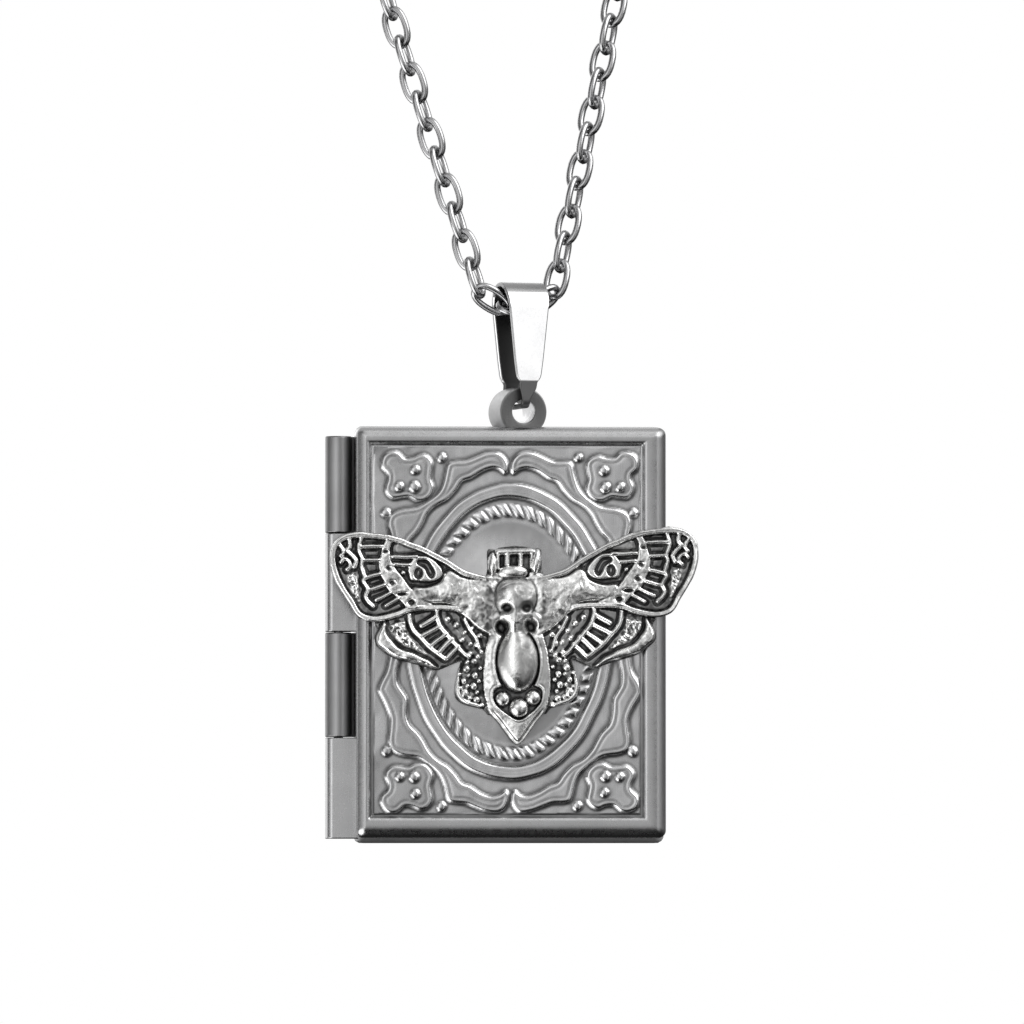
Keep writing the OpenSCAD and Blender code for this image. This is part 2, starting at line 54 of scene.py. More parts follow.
hinge_joint = next(j for j in frame["joints"] if j["name"] == "cover_hinge")
locket_centre = 1000 * np.array(hinge_joint["pos_m"]) + [HINGE_TO_CENTRE, 0, 0]
view_turn, view_rise = np.radians(-CAMERA_LEFT_DEG), np.radians(-CAMERA_BELOW_DEG)
view_right = np.array([np.cos(view_turn), np.sin(view_turn), 0])
view_back = np.array(
    [np.sin(view_turn) * np.cos(view_rise), -np.cos(view_turn) * np.cos(view_rise), np.sin(view_rise)]
)
view_up = np.cross(view_back, view_right)
aim_off_centre = view_right * AIM_RIGHT_PIXELS + view_up * AIM_ABOVE_PIXELS
aim = locket_centre + aim_off_centre / PIXELS_PER_MM
camera_place = 0.001 * (aim + CAMERA_DISTANCE * view_back)

camera_data = bpy.data.cameras.new("camera")
camera_data.lens = SENSOR_MM * CAMERA_DISTANCE / (PICTURE_PIXELS / PIXELS_PER_MM)
camera_data.clip_end = 20
camera = bpy.data.objects.new("camera", camera_data)
bpy.context.collection.objects.link(camera)
camera_rows = [[view_right[i], view_up[i], view_back[i], camera_place[i]] for i in range(3)]
camera.matrix_world = Matrix(camera_rows + [[0, 0, 0, 1]])
bpy.context.scene.camera = camera
bpy.context.scene.view_settings.view_transform = "Standard"

world = bpy.data.worlds.new("studio")
world.use_nodes = True
bpy.context.scene.world = world
room = world.node_tree.nodes
room.clear()


def wire(tree, node, **inputs):
    """Sets a node's inputs by name or number, from a socket or a plain value."""
    for key, value in inputs.items():
        socket = node.inputs[int(key[1:])] if key[0] == "_" else node.inputs[key.replace("_", " ")]
        if isinstance(value, bpy.types.NodeSocket):
            tree.links.new(value, socket)
        else:
            socket.default_value = value
    return node


def room_math(operation, *values):
    """The result of one sum among the room's nodes, from sockets or plain values."""
    node = room.new("ShaderNodeMath")
    node.operation = operation
    return wire(world.node_tree, node, **{f"_{i}": v for i, v in enumerate(values)}).outputs[0]


def toward(direction):
    """How far the looked-at part of the room lies along a direction, 1 to -1."""
    node = room.new("ShaderNodeVectorMath")
    node.operation = "DOT_PRODUCT"
    return wire(world.node_tree, node, _0=look.outputs["Generated"], _1=tuple(direction)).outputs["Value"]


def soft_step(value, start, end, top):
    """Rises smoothly from 0 at start to a top value at end."""
    node = room.new("ShaderNodeMapRange")
    node.interpolation_type = "SMOOTHSTEP"
    return wire(world.node_tree, node, _0=value, _1=start, _2=end, _3=0.0, _4=top).outputs[0]


DEGREES_IN_A_RADIAN = 57.3
look = room.new("ShaderNodeTexCoord")
across, upward, backward = toward(view_right), toward(view_up), toward(view_back)
turn = room_math("MULTIPLY", room_math("ARCTAN2", across, backward), DEGREES_IN_A_RADIAN)
rise = room_math("MULTIPLY", room_math("ARCSINE", upward), DEGREES_IN_A_RADIAN)


def tall_box(turn_at, rise_at, half_width, half_height, blur, strength):
    """A soft box by its angles from the camera: full inside its half sizes, smooth to nothing outside."""
    sideways = room_math("ABSOLUTE", room_math("SUBTRACT", turn, turn_at))
    above = room_math("ABSOLUTE", room_math("SUBTRACT", rise, rise_at))
    wide = soft_step(sideways, half_width + blur / 2, half_width - blur / 2, 1.0)
    high = soft_step(above, half_height + blur / 2, half_height - blur / 2, strength)
    return room_math("MULTIPLY", wide, high)


def round_light(turn_at, rise_at, inner, outer, strength):
    """A round light by its angles from the camera: full within the inner angle, nothing past the outer."""
    t, r = np.radians(turn_at), np.radians(rise_at)
    centre = np.cos(r) * (np.sin(t) * view_right + np.cos(t) * view_back) + np.sin(r) * view_up
    return soft_step(toward(centre), np.cos(np.radians(outer)), np.cos(np.radians(inner)), strength)


# A pale wash all round the horizon, and a brighter one in front, left of the camera
side_wash = room_math("MULTIPLY", soft_step(rise, -38, 0, 0.2), soft_step(rise, 52, 18, 1.0))
front_wash = room_math("MULTIPLY", soft_step(turn, 28, -10, 0.64), soft_step(turn, -60, -46, 1.0))
front_wash = room_math("MULTIPLY", front_wash, soft_step(rise, 46, 26, 1.0))
front_wash = room_math("MULTIPLY", front_wash, soft_step(rise, -22, -2, 1.0))
# Ceiling, right and left box: turn, rise, half width, half height and blur in degrees, strength
soft_boxes = [
    [0, 52, 40, 24, 20, 0.6],
    [39, 27, 5, 60, 5, 1.0],
    [-21, 0, 8, 24, 10, 0.75],
]
# Two bright lights in front and three dim ones behind: turn, rise, inner and outer angle, strength
round_lights = [
    [66, 40, 20, 34, 3.2],
    [-66, -40, 22, 37, 2.7],
    [180, 55, 40, 65, 0.6],
    [180, 5, 14, 24, 0.7],
    [-141, 0, 22, 36, 0.8],
]
ROOM_GLOW = 0.02
total = room_math("ADD", side_wash, front_wash)
lights = [tall_box(*box) for box in soft_boxes] + [round_light(*light) for light in round_lights]
for light in lights + [ROOM_GLOW]:
    total = room_math("ADD", total, light)
seen = room.new("ShaderNodeLightPath").outputs["Is Camera Ray"]
strength = room_math("ADD", room_math("MULTIPLY", total, room_math("SUBTRACT", 1.0, seen)), seen)
background = wire(world.node_tree, room.new("ShaderNodeBackground"), Color=(1, 1, 1, 1), Strength=strength)
wire(world.node_tree, room.new("ShaderNodeOutputWorld"), Surface=background.outputs[0])

# FLOOR
# A plain pale studio floor well below the locket. A ceiling lamp of its own lights it,
# and neither of them shows in the polished metal.

FLOOR_RADIUS, FLOOR_Z, FLOOR_SIDES = 2.0, -0.34, 96
FLOOR_GREYS, FLOOR_GRAIN = (0.8, 0.84), 40.0
LAMP_Z, LAMP_SIZE, LAMP_POWER = 1.6, 3, 34

floor_turn = np.linspace(0, 2 * np.pi, FLOOR_SIDES, endpoint=False)
floor_mesh = bpy.data.meshes.new("floor")
floor_corners = [(FLOOR_RADIUS * np.cos(a), FLOOR_RADIUS * np.sin(a), FLOOR_Z) for a in floor_turn]
floor_mesh.from_pydata(floor_corners, [], [tuple(range(FLOOR_SIDES))])
floor = bpy.data.objects.new("floor", floor_mesh)
bpy.context.collection.objects.link(floor)
floor.visible_glossy = False
floor_paint = bpy.data.materials.new("pale_floor")
floor_paint.use_nodes = True
floor_tree = floor_paint.node_tree
grain = wire(floor_tree, floor_tree.nodes.new("ShaderNodeTexNoise"), Scale=FLOOR_GRAIN, Detail=4.0)
grain_range = floor_tree.nodes.new("ShaderNodeMapRange")
wire(floor_tree, grain_range, _0=grain.outputs[0], _3=FLOOR_GREYS[0], _4=FLOOR_GREYS[1])
wire(floor_tree, floor_tree.nodes["Principled BSDF"], Base_Color=grain_range.outputs[0], Roughness=0.9)
floor_mesh.materials.append(floor_paint)

lamp_data = bpy.data.lights.new("ceiling_lamp", "AREA")
lamp_data.shape = "DISK"
lamp_data.size = LAMP_SIZE
lamp_data.energy = LAMP_POWER
lamp = bpy.data.objects.new("ceiling_lamp", lamp_data)
lamp.location = (0, 0, LAMP_Z)
lamp.visible_glossy = False
bpy.context.collection.objects.link(lamp)

# FRONT COVER
# A shallow pan pressed from satin steel sheet. A raised flat border runs round an embossed
# field: scrolls, quatrefoils in the corners, and an oval ring and a rope round a plain oval.
# The metal has fine scratches and small dull spots, as all the metals here do.

wear = bpy.data.node_groups.new("fine_wear", "ShaderNodeTree")
wear.interface.new_socket("Size", in_out="INPUT", socket_type="NodeSocketFloat")
for label in ("Tone", "Dullness", "Height"):
    wear.interface.new_socket(label, in_out="OUTPUT", socket_type="NodeSocketFloat")
wear_nodes = wear.nodes
wear_in, wear_out = wear_nodes.new("NodeGroupInput"), wear_nodes.new("NodeGroupOutput")
wear_place = wear_nodes.new("ShaderNodeTexCoord").outputs["Object"]
SCRATCH_LEAN, SCRATCH_DEPTH, DARK_ROUGHNESS = 0.35, 0.00002, 0.5


def wear_noise(scale, detail, stretch=None):
    """Noise of a given size in 1/m, times the group's own size, stretched along one direction if given."""
    where = wear_place
    if stretch:
        mapping = wear_nodes.new("ShaderNodeMapping")
        lean = (0, SCRATCH_LEAN, 0)
        where = wire(wear, mapping, Vector=wear_place, Scale=stretch, Rotation=lean).outputs[0]
    size = wear_nodes.new("ShaderNodeMath")
    size.operation = "MULTIPLY"
    wire(wear, size, _0=wear_in.outputs["Size"], _1=scale)
    noise = wear_nodes.new("ShaderNodeTexNoise")
    return wire(wear, noise, Vector=where, Scale=size.outputs[0], Detail=detail).outputs[0]


def wear_range(value, low, high, start, end):
    """Turns a range of noise into a range of values."""
    node = wear_nodes.new("ShaderNodeMapRange")
    return wire(wear, node, _0=value, _1=low, _2=high, _3=start, _4=end).outputs[0]


clouds = wear_noise(300.0, detail=5.0)
specks = wear_noise(2600.0, detail=3.0)
scratches = wear_noise(900.0, detail=6.0, stretch=(12.0, 12.0, 0.8))
cross_scratches = wear_noise(1100.0, detail=6.0, stretch=(0.8, 12.0, 12.0))
all_scratches = wear_nodes.new("ShaderNodeMath")
all_scratches.operation = "ADD"
wire(wear, all_scratches, _0=scratches, _1=cross_scratches)
cloud_tone = wear_range(clouds, 0.3, 0.7, 0.92, 1.06)
spot_dullness = wear_range(specks, 0.35, 0.75, 0.0, 1.0)
wire(wear, wear_out, Tone=cloud_tone, Dullness=spot_dullness, Height=all_scratches.outputs[0])


def metal(name, colour, roughness, extra_roughness, bump, wear_size, dark=None):
    """A metal of one colour with the shared wear, duller by an extra roughness in its spots.

    With a dark grey given, it turns to that grey, and dull, where the piece's low attribute is 1:
    painted shade, and on the moth its blackening too.
    """
    material = bpy.data.materials.new(name)
    material.use_nodes = True
    tree = material.node_tree
    group = tree.nodes.new("ShaderNodeGroup")
    group.node_tree = wear
    group.inputs["Size"].default_value = wear_size
    tone = tree.nodes.new("ShaderNodeMix")
    tone.data_type = "RGBA"
    tone.blend_type = "MULTIPLY"
    colour_out = wire(tree, tone, _0=1.0, _6=(*colour, 1), _7=group.outputs["Tone"]).outputs[2]
    rough = tree.nodes.new("ShaderNodeMapRange")
    wire(tree, rough, _0=group.outputs["Dullness"], _3=roughness, _4=roughness + extra_roughness)
    rough_out = rough.outputs[0]
    if dark:
        # The low attribute carries painted shade, and on the moth its blackening too
        low = tree.nodes.new("ShaderNodeAttribute")
        low.attribute_name = "low"
        shade_and_patina = tree.nodes.new("ShaderNodeMix")
        shade_and_patina.data_type = "RGBA"
        wire(tree, shade_and_patina, _0=low.outputs["Fac"], _6=colour_out, _7=(dark, dark, dark, 1))
        colour_out = shade_and_patina.outputs[2]
        dull = tree.nodes.new("ShaderNodeMix")
        rough_out = wire(tree, dull, _0=low.outputs["Fac"], _2=rough_out, _3=DARK_ROUGHNESS).outputs[0]
    relief = tree.nodes.new("ShaderNodeBump")
    wire(tree, relief, Strength=bump, Distance=SCRATCH_DEPTH, Height=group.outputs["Height"])
    shader = tree.nodes["Principled BSDF"]
    wire(tree, shader, Base_Color=colour_out, Metallic=1.0, Roughness=rough_out, Normal=relief.outputs[0])
    return material


cover_steel = metal(
    "satin_cover_steel", (0.67, 0.67, 0.675),
    roughness=0.2, extra_roughness=0.08, bump=0.12, wear_size=1.0, dark=0.05,
)


def add_piece(name, points, faces, material, body, node, marks=None, sharp=50):
    """A mesh from points in mm and arrays of faces, an array for each number of corners.

    Open edges are filled, the faces are turned outward and smoothed up to an angle in degrees,
    and marks of painted shade, on the moth its blackening too, are kept as the low attribute.
    """
    mesh = bpy.data.meshes.new(name)
    corners = np.concatenate([np.ravel(f) for f in faces]).astype(np.int32)
    counts = np.concatenate([np.full(len(f), np.shape(f)[1]) for f in faces])
    mesh.vertices.add(len(points))
    mesh.vertices.foreach_set("co", (0.001 * np.asarray(points, float)).ravel().astype(np.float32))
    mesh.loops.add(len(corners))
    mesh.loops.foreach_set("vertex_index", corners)
    mesh.polygons.add(len(counts))
    mesh.polygons.foreach_set("loop_start", np.concatenate([[0], np.cumsum(counts)[:-1]]).astype(np.int32))
    mesh.update(calc_edges=True)
    shape = bmesh.new()
    shape.from_mesh(mesh)
    open_edges = [edge for edge in shape.edges if edge.is_boundary]
    if open_edges:
        bmesh.ops.holes_fill(shape, edges=open_edges, sides=0)
    bmesh.ops.recalc_face_normals(shape, faces=shape.faces)
    shape.to_mesh(mesh)
    shape.free()
    mesh.shade_smooth()
    mesh.set_sharp_from_angle(angle=np.radians(sharp))
    if marks is not None:
        mesh.attributes.new("low", "FLOAT", "POINT").data.foreach_set("value", marks.astype(np.float32))
    mesh.materials.append(material)
    piece = bpy.data.objects.new(name, mesh)
    bpy.context.collection.objects.link(piece)
    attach(piece, body)
    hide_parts(node)
    return piece


def smoothed(points, steps=4, closed=True):
    """A smooth line through points: a Catmull-Rom curve with a few steps from each point to the next."""
    p = np.asarray(points, float)
    if closed:
        before, after, last = np.roll(p, 1, 0), np.roll(p, -1, 0), np.roll(p, -2, 0)
    else:
        padded = np.concatenate([[2 * p[0] - p[1]], p, [2 * p[-1] - p[-2]]])
        before, p, after, last = padded[:-3], padded[1:-2], padded[2:-1], padded[3:]
    t = (np.arange(steps) / steps)[None, :, None]
    before, start, after, last = (q[:, None, :] for q in (before, p, after, last))
    curve = 0.5 * (
        2 * start
        + (after - before) * t
        + (2 * before - 5 * start + 4 * after - last) * t**2
        + (3 * start - before - 3 * after + last) * t**3
    )
    curve = curve.reshape(-1, 2)
    return curve if closed else np.concatenate([curve, after[-1]])


def distance_squared(x, z, line):
    """Square of each point's least distance to the straight pieces of a line."""
    nearest = np.full(np.shape(x), 1e9)
    for (ax, az), (bx, bz) in zip(line[:-1], line[1:]):
        dx, dz = bx - ax, bz - az
        t = np.clip(((x - ax) * dx + (z - az) * dz) / (dx * dx + dz * dz + 1e-12), 0, 1)
        nearest = np.minimum(nearest, (x - ax - t * dx) ** 2 + (z - az - t * dz) ** 2)
    return nearest


def depth_inside(x, z, outline):
    """Distance of each point to a closed outline, positive inside.

    Its sign is an even-odd count of the outline's sides that a line from the point crosses.
    """
    inside = np.zeros(np.shape(x), bool)
    for (ax, az), (bx, bz) in zip(outline, np.roll(outline, -1, axis=0)):
        if az != bz:
            inside ^= ((az > z) != (bz > z)) & (x < (bx - ax) * (z - az) / (bz - az) + ax)
    return np.where(inside, 1, -1) * np.sqrt(distance_squared(x, z, [*outline, outline[0]]))


def depth_in_oval(x, z, half):
    """Distance to an oval's edge, positive inside: its implicit value over the length of its gradient."""
    value = np.sqrt((x / half[0]) ** 2 + (z / half[1]) ** 2) + 1e-9
    slope = np.sqrt((x / half[0] ** 2) ** 2 + (z / half[1] ** 2) ** 2) / value + 1e-9
    return (1 - value) / slope


def ramp(value, start, end):
    """Rises smoothly from 0 at start to 1 at end."""
    t = np.clip((value - start) / (end - start), 0, 1)
    return t * t * (3 - 2 * t)


def line_mark(value, at, width):
    """1 where a value is at a place, fading to both sides: a Gaussian of a given width."""
    return np.exp(-(((value - at) / width) ** 2))


def bead_height(x, z, bead_x, bead_z, radius):
    """Height of a ball's upper half over its middle, and 0 round it."""
    return np.sqrt(np.clip(radius**2 - (x - bead_x) ** 2 - (z - bead_z) ** 2, 0, None))


def blurred(field, sigma):
    """A field softened by a round Gaussian of a given number of cells, its rim repeated outward first."""
    pad = int(4 * sigma) + 1
    wide = np.pad(field, pad, mode="edge")
    fz, fx = np.meshgrid(*(np.fft.fftfreq(n) for n in wide.shape), indexing="ij")
    soft = np.fft.ifft2(np.fft.fft2(wide) * np.exp(-2 * (np.pi * sigma) ** 2 * (fx**2 + fz**2))).real
    return soft[pad:-pad, pad:-pad]


def strewn(shape, sigma, seed):
    """Cloudy random bumps of a given size in cells, with mean 0 and spread 1."""
    field = blurred(np.random.default_rng(seed).standard_normal(shape), sigma)
    return (field - field.mean()) / field.std()


scroll = [
    [0.12, 13.3], [0.15, 13.9], [0.5, 14.5], [1.1, 14.8], [1.95, 14.75], [2.8, 14.4],
    [3.7, 14.05], [4.7, 14.0], [5.2, 13.8], [5.4, 13.2], [5.6, 12.4], [5.9, 11.7],
    [6.45, 11.1], [7.1, 10.6], [7.9, 10.15], [9.2, 9.95], [10.0, 9.55], [10.25, 8.8],
    [10.1, 7.9], [10.05, 6.9], [10.45, 5.8], [10.9, 4.95], [11.05, 4.5], [10.8, 3.8],
    [10.4, 3.0], [10.15, 1.9], [9.95, 0.7], [9.5, 0.3], [9.1, 0.7], [9.2, 1.9],
    [9.45, 3.0], [9.45, 3.95], [9.1, 4.65], [8.7, 5.4], [8.65, 6.6], [8.4, 7.4],
    [7.75, 8.1], [7.3, 8.8], [6.95, 9.5], [6.45, 10.1], [5.9, 10.5], [5.2, 10.9],
    [4.5, 11.6], [4.0, 12.3], [3.25, 12.6], [2.4, 13.15], [1.55, 13.45], [0.9, 13.35],
    [0.4, 13.0],
]
quatrefoil = [
    [10.77, 13.74], [10.85, 14.33], [10.5, 14.92], [9.92, 15.2], [9.33, 15.1], [8.85, 14.67],
    [8.2, 14.7], [7.55, 14.92], [6.9, 14.7], [6.5, 14.15], [6.6, 13.4], [6.65, 12.85],
    [6.45, 12.2], [6.65, 11.55], [7.2, 11.1], [7.9, 11.05], [8.55, 11.35], [9.25, 11.28],
    [9.9, 11.25], [10.4, 11.65], [10.5, 12.2], [10.25, 12.8], [10.3, 13.3],
]
# Across, up, radius
field_beads = [
    [9.3, 12.2, 0.42], [8.05, 12.2, 0.48], [7.95, 13.6, 0.42], [5.75, 14.65, 0.42], [10.45, 10.05, 0.45],
]
FIELD_RIGHT, FIELD_DOWN, SCROLL_LIFT, WAVER = 0.22, 0.13, 0.35, 0.035
RELIEF, ROPE_RELIEF, OVAL_DOME = 0.28, 0.17, 0.25
RING_OUTER, RING_INNER = (8.78, 12.46), (7.75, 11.36)
ROPE_OUTER, ROPE_MIDDLE, ROPE_INNER = (7.45, 10.85), (7.1, 10.4), (6.6, 9.7)
ROPE_STRANDS, ROPE_SLANT = 52, 0.62
PLAIN_OVAL = (6.5, 9.5)
rope_turn = np.linspace(-np.pi, np.pi, 721)
rope_x, rope_z = ROPE_MIDDLE[0] * np.cos(rope_turn), ROPE_MIDDLE[1] * np.sin(rope_turn)
rope_steps = np.hypot(np.diff(rope_x), np.diff(rope_z))
rope_length = np.concatenate([[0], np.cumsum(rope_steps)])


def embossed(depth, shoulder, groove):
    """Height of a pressed shape: a smooth shoulder across its outline and a fine groove inside it."""
    return RELIEF * ramp(depth, -shoulder, shoulder) - groove * line_mark(depth, 0.42, 0.1)


def ornament_height(x, z):
    """Height of the embossing over the field.

    The scrolls, quatrefoils and oval ring are pressed shapes and the beads are balls, alike in
    all four quadrants. The rope is a row of bulges, a cosine of the length round the oval, that
    slant one way all round. The plain oval is domed. Places and heights waver a little.
    """
    x = x - FIELD_RIGHT + WAVER * strewn(x.shape, 6, 21)
    z = z + FIELD_DOWN + WAVER * strewn(x.shape, 6, 22)
    ax, az = np.abs(x), np.abs(z)
    scrolls = depth_inside(ax, az - SCROLL_LIFT, smoothed(scroll))
    shapes = np.maximum(scrolls, depth_inside(ax, az, smoothed(quatrefoil)))
    ring = np.minimum(depth_in_oval(x, z, RING_OUTER), -depth_in_oval(x, z, RING_INNER))
    height = np.maximum(embossed(shapes, 0.19, 0.035), embossed(ring, 0.18, 0.02))
    outer, inner = depth_in_oval(x, z, ROPE_OUTER), -depth_in_oval(x, z, ROPE_INNER)
    across_rope = np.clip(inner / np.maximum(inner + outer, 1e-6), -0.3, 1.3)
    angle = np.arctan2(z / ROPE_MIDDLE[1], x / ROPE_MIDDLE[0])
    along_rope = np.interp(angle, rope_turn, rope_length / rope_length[-1])
    phase = ROPE_STRANDS * along_rope - ROPE_SLANT * across_rope
    strand = np.clip(1.35 * np.abs(np.cos(np.pi * phase)) - 0.35, 0, 1) ** 0.8
    width = np.clip(1 - (2 * across_rope - 1) ** 2, 0, 1) ** 0.6
    height = np.maximum(height, ROPE_RELIEF * strand * width)
    for bead in field_beads:
        height = height + 0.5 * bead_height(ax, az, *bead)
    height = height + 0.014 * strewn(x.shape, 9, 23) + 0.003 * strewn(x.shape, 2.2, 24)
    return height + OVAL_DOME * ramp(depth_in_oval(x, z, PLAIN_OVAL), 0, PLAIN_OVAL[0])


def sheet_grid(columns, rows):
    """Corner numbers of the four-sided faces of a grid of points counted along its rows."""
    start = (np.arange(rows - 1)[:, None] * columns + np.arange(columns - 1)).ravel()
    return np.stack([start, start + 1, start + columns + 1, start + columns], axis=1)


def rim_of_grid(columns, rows):
    """Numbers of a grid's outer points, once round it."""
    numbers = np.arange(columns * rows).reshape(rows, columns)
    return np.concatenate([numbers[0, :-1], numbers[:-1, -1], numbers[-1, :0:-1], numbers[:0:-1, 0]])


def rounded_corners(x, z, half_w, half_h, radius):
    """Moves the points of a rectangle onto the same rectangle with round corners.

    A point within a radius of a corner goes as far round the corner's arc as it is along the
    rectangle's sides.
    """
    cx, cz = half_w - radius, half_h - radius
    over_x, over_z = np.abs(x) - cx, np.abs(z) - cz
    near = (over_x > 0) & (over_z > 0)
    along = np.where(over_z > over_x, over_x, 2 * radius - over_z) / (2 * radius)
    angle = np.clip(along, 0, 1) * np.pi / 2
    new_x = np.where(near, np.sign(x) * (cx + radius * np.sin(angle)), x)
    return new_x, np.where(near, np.sign(z) * (cz + radius * np.cos(angle)), z)


SHARP_CORNER = 0.03


def pan_shell(half_w, half_h, columns, rows, height_at, outer_profile, wall_profile, off_middle):
    """A pressed pan facing -Y: a grid for the field, rings round it and a flat floor inside.

    Each ring is the field's rim drawn straight out to a place of a profile, which gives (inset
    from the outer side, y, corner radius). The outer profile runs over the border and its edge,
    the wall profile down the side and back inside. The field lies off the pan's middle, across
    and up, and the border's outer side doesn't.
    """
    field_inset, field_y = outer_profile[0][:2]
    field_w, field_h = half_w - field_inset, half_h - field_inset
    x, z = np.meshgrid(np.linspace(-field_w, field_w, columns), np.linspace(-field_h, field_h, rows))
    y = field_y - height_at(x, z)
    points = [np.stack([x.ravel() + off_middle[0], y.ravel(), z.ravel() + off_middle[1]], axis=1)]
    faces = [sheet_grid(columns, rows)]
    last = rim_of_grid(columns, rows)
    rim_x, rim_z = x.ravel()[last], z.ravel()[last]
    count = columns * rows
    for k, (inset, ring_y, radius) in enumerate(outer_profile[1:] + wall_profile, 1):
        w, h = half_w - inset, half_h - inset
        ring_x, ring_z = rim_x * w / field_w, rim_z * h / field_h
        ring_x, ring_z = rounded_corners(ring_x, ring_z, w, h, max(radius, SHARP_CORNER))
        settle = ramp(inset, 0.6, 1.3) if k < len(outer_profile) else 0.0
        ring_x, ring_z = ring_x + off_middle[0] * settle, ring_z + off_middle[1] * settle
        numbers = count + np.arange(len(last))
        faces.append(np.stack([last, np.roll(last, -1), np.roll(numbers, -1), numbers], axis=1))
        points.append(np.stack([ring_x, np.full(len(last), ring_y), ring_z], axis=1))
        last = numbers
        count += len(last)
    faces.append(last[None, :])
    return np.concatenate(points), faces


HALF_W, FRONT_HALF_H, CORNER_R = 13.1, 17.3, 0.65
FIELD_COLUMNS, FIELD_ROWS = 204, 280
FIELD_OFF_MIDDLE = (-0.38, 0.15)
border_profile = [
    (1.9, -2.75, 0), (1.84, -2.72, 0), (1.78, -2.7, 0), (1.72, -2.7, 0), (1.66, -2.73, 0), (1.6, -2.79, 0),
    (1.54, -2.86, 0), (1.48, -2.92, 0), (1.42, -2.965, 0), (1.34, -2.99, 0), (1.24, -3.0, 0), (1.1, -3.0, 0),
]
edge_turn = np.radians(np.linspace(0, 90, 9))
border_profile += [(1 - np.sin(a), -2 - np.cos(a), CORNER_R * np.sin(a)) for a in edge_turn]
front_wall_profile = [
    (0, -1.2, 0.65), (0, -0.12, 0.65), (0.03, -0.05, 0.62), (0.1, -0.03, 0.55), (0.6, -0.03, 0.05),
    (0.67, -0.05, 0), (0.7, -0.12, 0), (0.7, -2.0, 0), (0.74, -2.11, 0), (0.85, -2.15, 0), (0.95, -2.15, 0),
    (1.05, -2.15, 0),
]


def front_darkness(points):
    """How dark the front cover is, 0 to 1.

    Hollows in the field get painted shade by their depth below its blurred height. The groove
    beside the border gets painted shade that deepens downward, the right edge gets painted shade,
    and soft painted shade lies on the border and the field's left, with a painted reflection over the plain
    oval.
    """
    x, y, z = points.T
    low = np.zeros(len(points))
    field = y[: FIELD_COLUMNS * FIELD_ROWS].reshape(FIELD_ROWS, FIELD_COLUMNS)
    # Painted shade in the field's hollows
    hollow = np.clip((field - blurred(field, 1.5)) / 0.03, 0, 1)
    low[: FIELD_COLUMNS * FIELD_ROWS] = 0.78 * hollow.ravel()
    off_x, off_z = FIELD_OFF_MIDDLE
    from_side = np.minimum(HALF_W - np.abs(x - off_x), FRONT_HALF_H - np.abs(z - off_z))
    # Painted shade in the groove beside the border, deeper downward
    in_groove = ramp(from_side, 1.48, 1.58) * (1 - ramp(from_side, 1.88, 1.97)) * (y < -2.3)
    low = np.maximum(low, in_groove * (0.1 + 0.65 * ramp(-z, -10, 14)))
    # Painted shade on the right edge
    low = np.maximum(low, 0.59 * ramp(x, 12.3, 12.55) * (y < -1.9))
    # Painted reflection over the plain oval, darker toward its top, bottom and right, and soft painted shade
    # on the field's left and the border
    in_oval = ramp(depth_in_oval(x + 0.16, z, PLAIN_OVAL), 0, 0.4)
    oval_shade = 0.26 * ramp(z, 7, 9) + 0.22 * ramp(-z, 4, 8) + 0.14 * ramp(x, -2, 1)
    field_shade = 0.15 * (1 - ramp(x, -9, -2)) * (1 - in_oval) + oval_shade * in_oval
    return np.maximum(low, np.where(from_side < 1.95, 0.19, field_shade))


front_points, front_faces = pan_shell(
    HALF_W, FRONT_HALF_H, FIELD_COLUMNS, FIELD_ROWS, ornament_height, border_profile, front_wall_profile,
    FIELD_OFF_MIDDLE,
)
add_piece(
    "front_shell", front_points + locket_centre, front_faces, cover_steel, "cover", "cover_front",
    front_darkness(front_points),
)

# HINGE
# Four turned knuckles on a pin: two on each half, with flat leaves soldered on beside
# the border. The pin is plain wire cut to length.

KNUCKLE_R, PIN_R, PIN_END_R = 1.13, 0.4, 0.3
FRONT_PLAY, BACK_PLAY, KNUCKLE_GAP, BEVEL, PIN_SHORT = 0.05, 0.02, 0.03, 0.1, 0.21
PIN_SIDES, END_SHADOW_LENGTH = 20, 0.08
LEAF_END, LEAF_T = 1.64, 0.4
CORNER_AT, CORNER_ARC = (-0.5, -0.61), 0.52
knuckle_edges = [16.6, 8.4, 0.03, -8.82, -17.4]


def circle(radius, sides):
    """Points round a circle, at the cosine and sine of equal turns."""
    a = np.linspace(0, 2 * np.pi, sides, endpoint=False)
    return np.stack([radius * np.cos(a), radius * np.sin(a)], axis=1)


def offset_outline(outline, inset):
    """Each corner of a closed outline moved inward along the mean of its two sides' normals."""
    along = np.roll(outline, -1, 0) - np.roll(outline, 1, 0)
    normal = np.stack([-along[:, 1], along[:, 0]], axis=1)
    return outline + inset * normal / np.linalg.norm(normal, axis=1, keepdims=True)


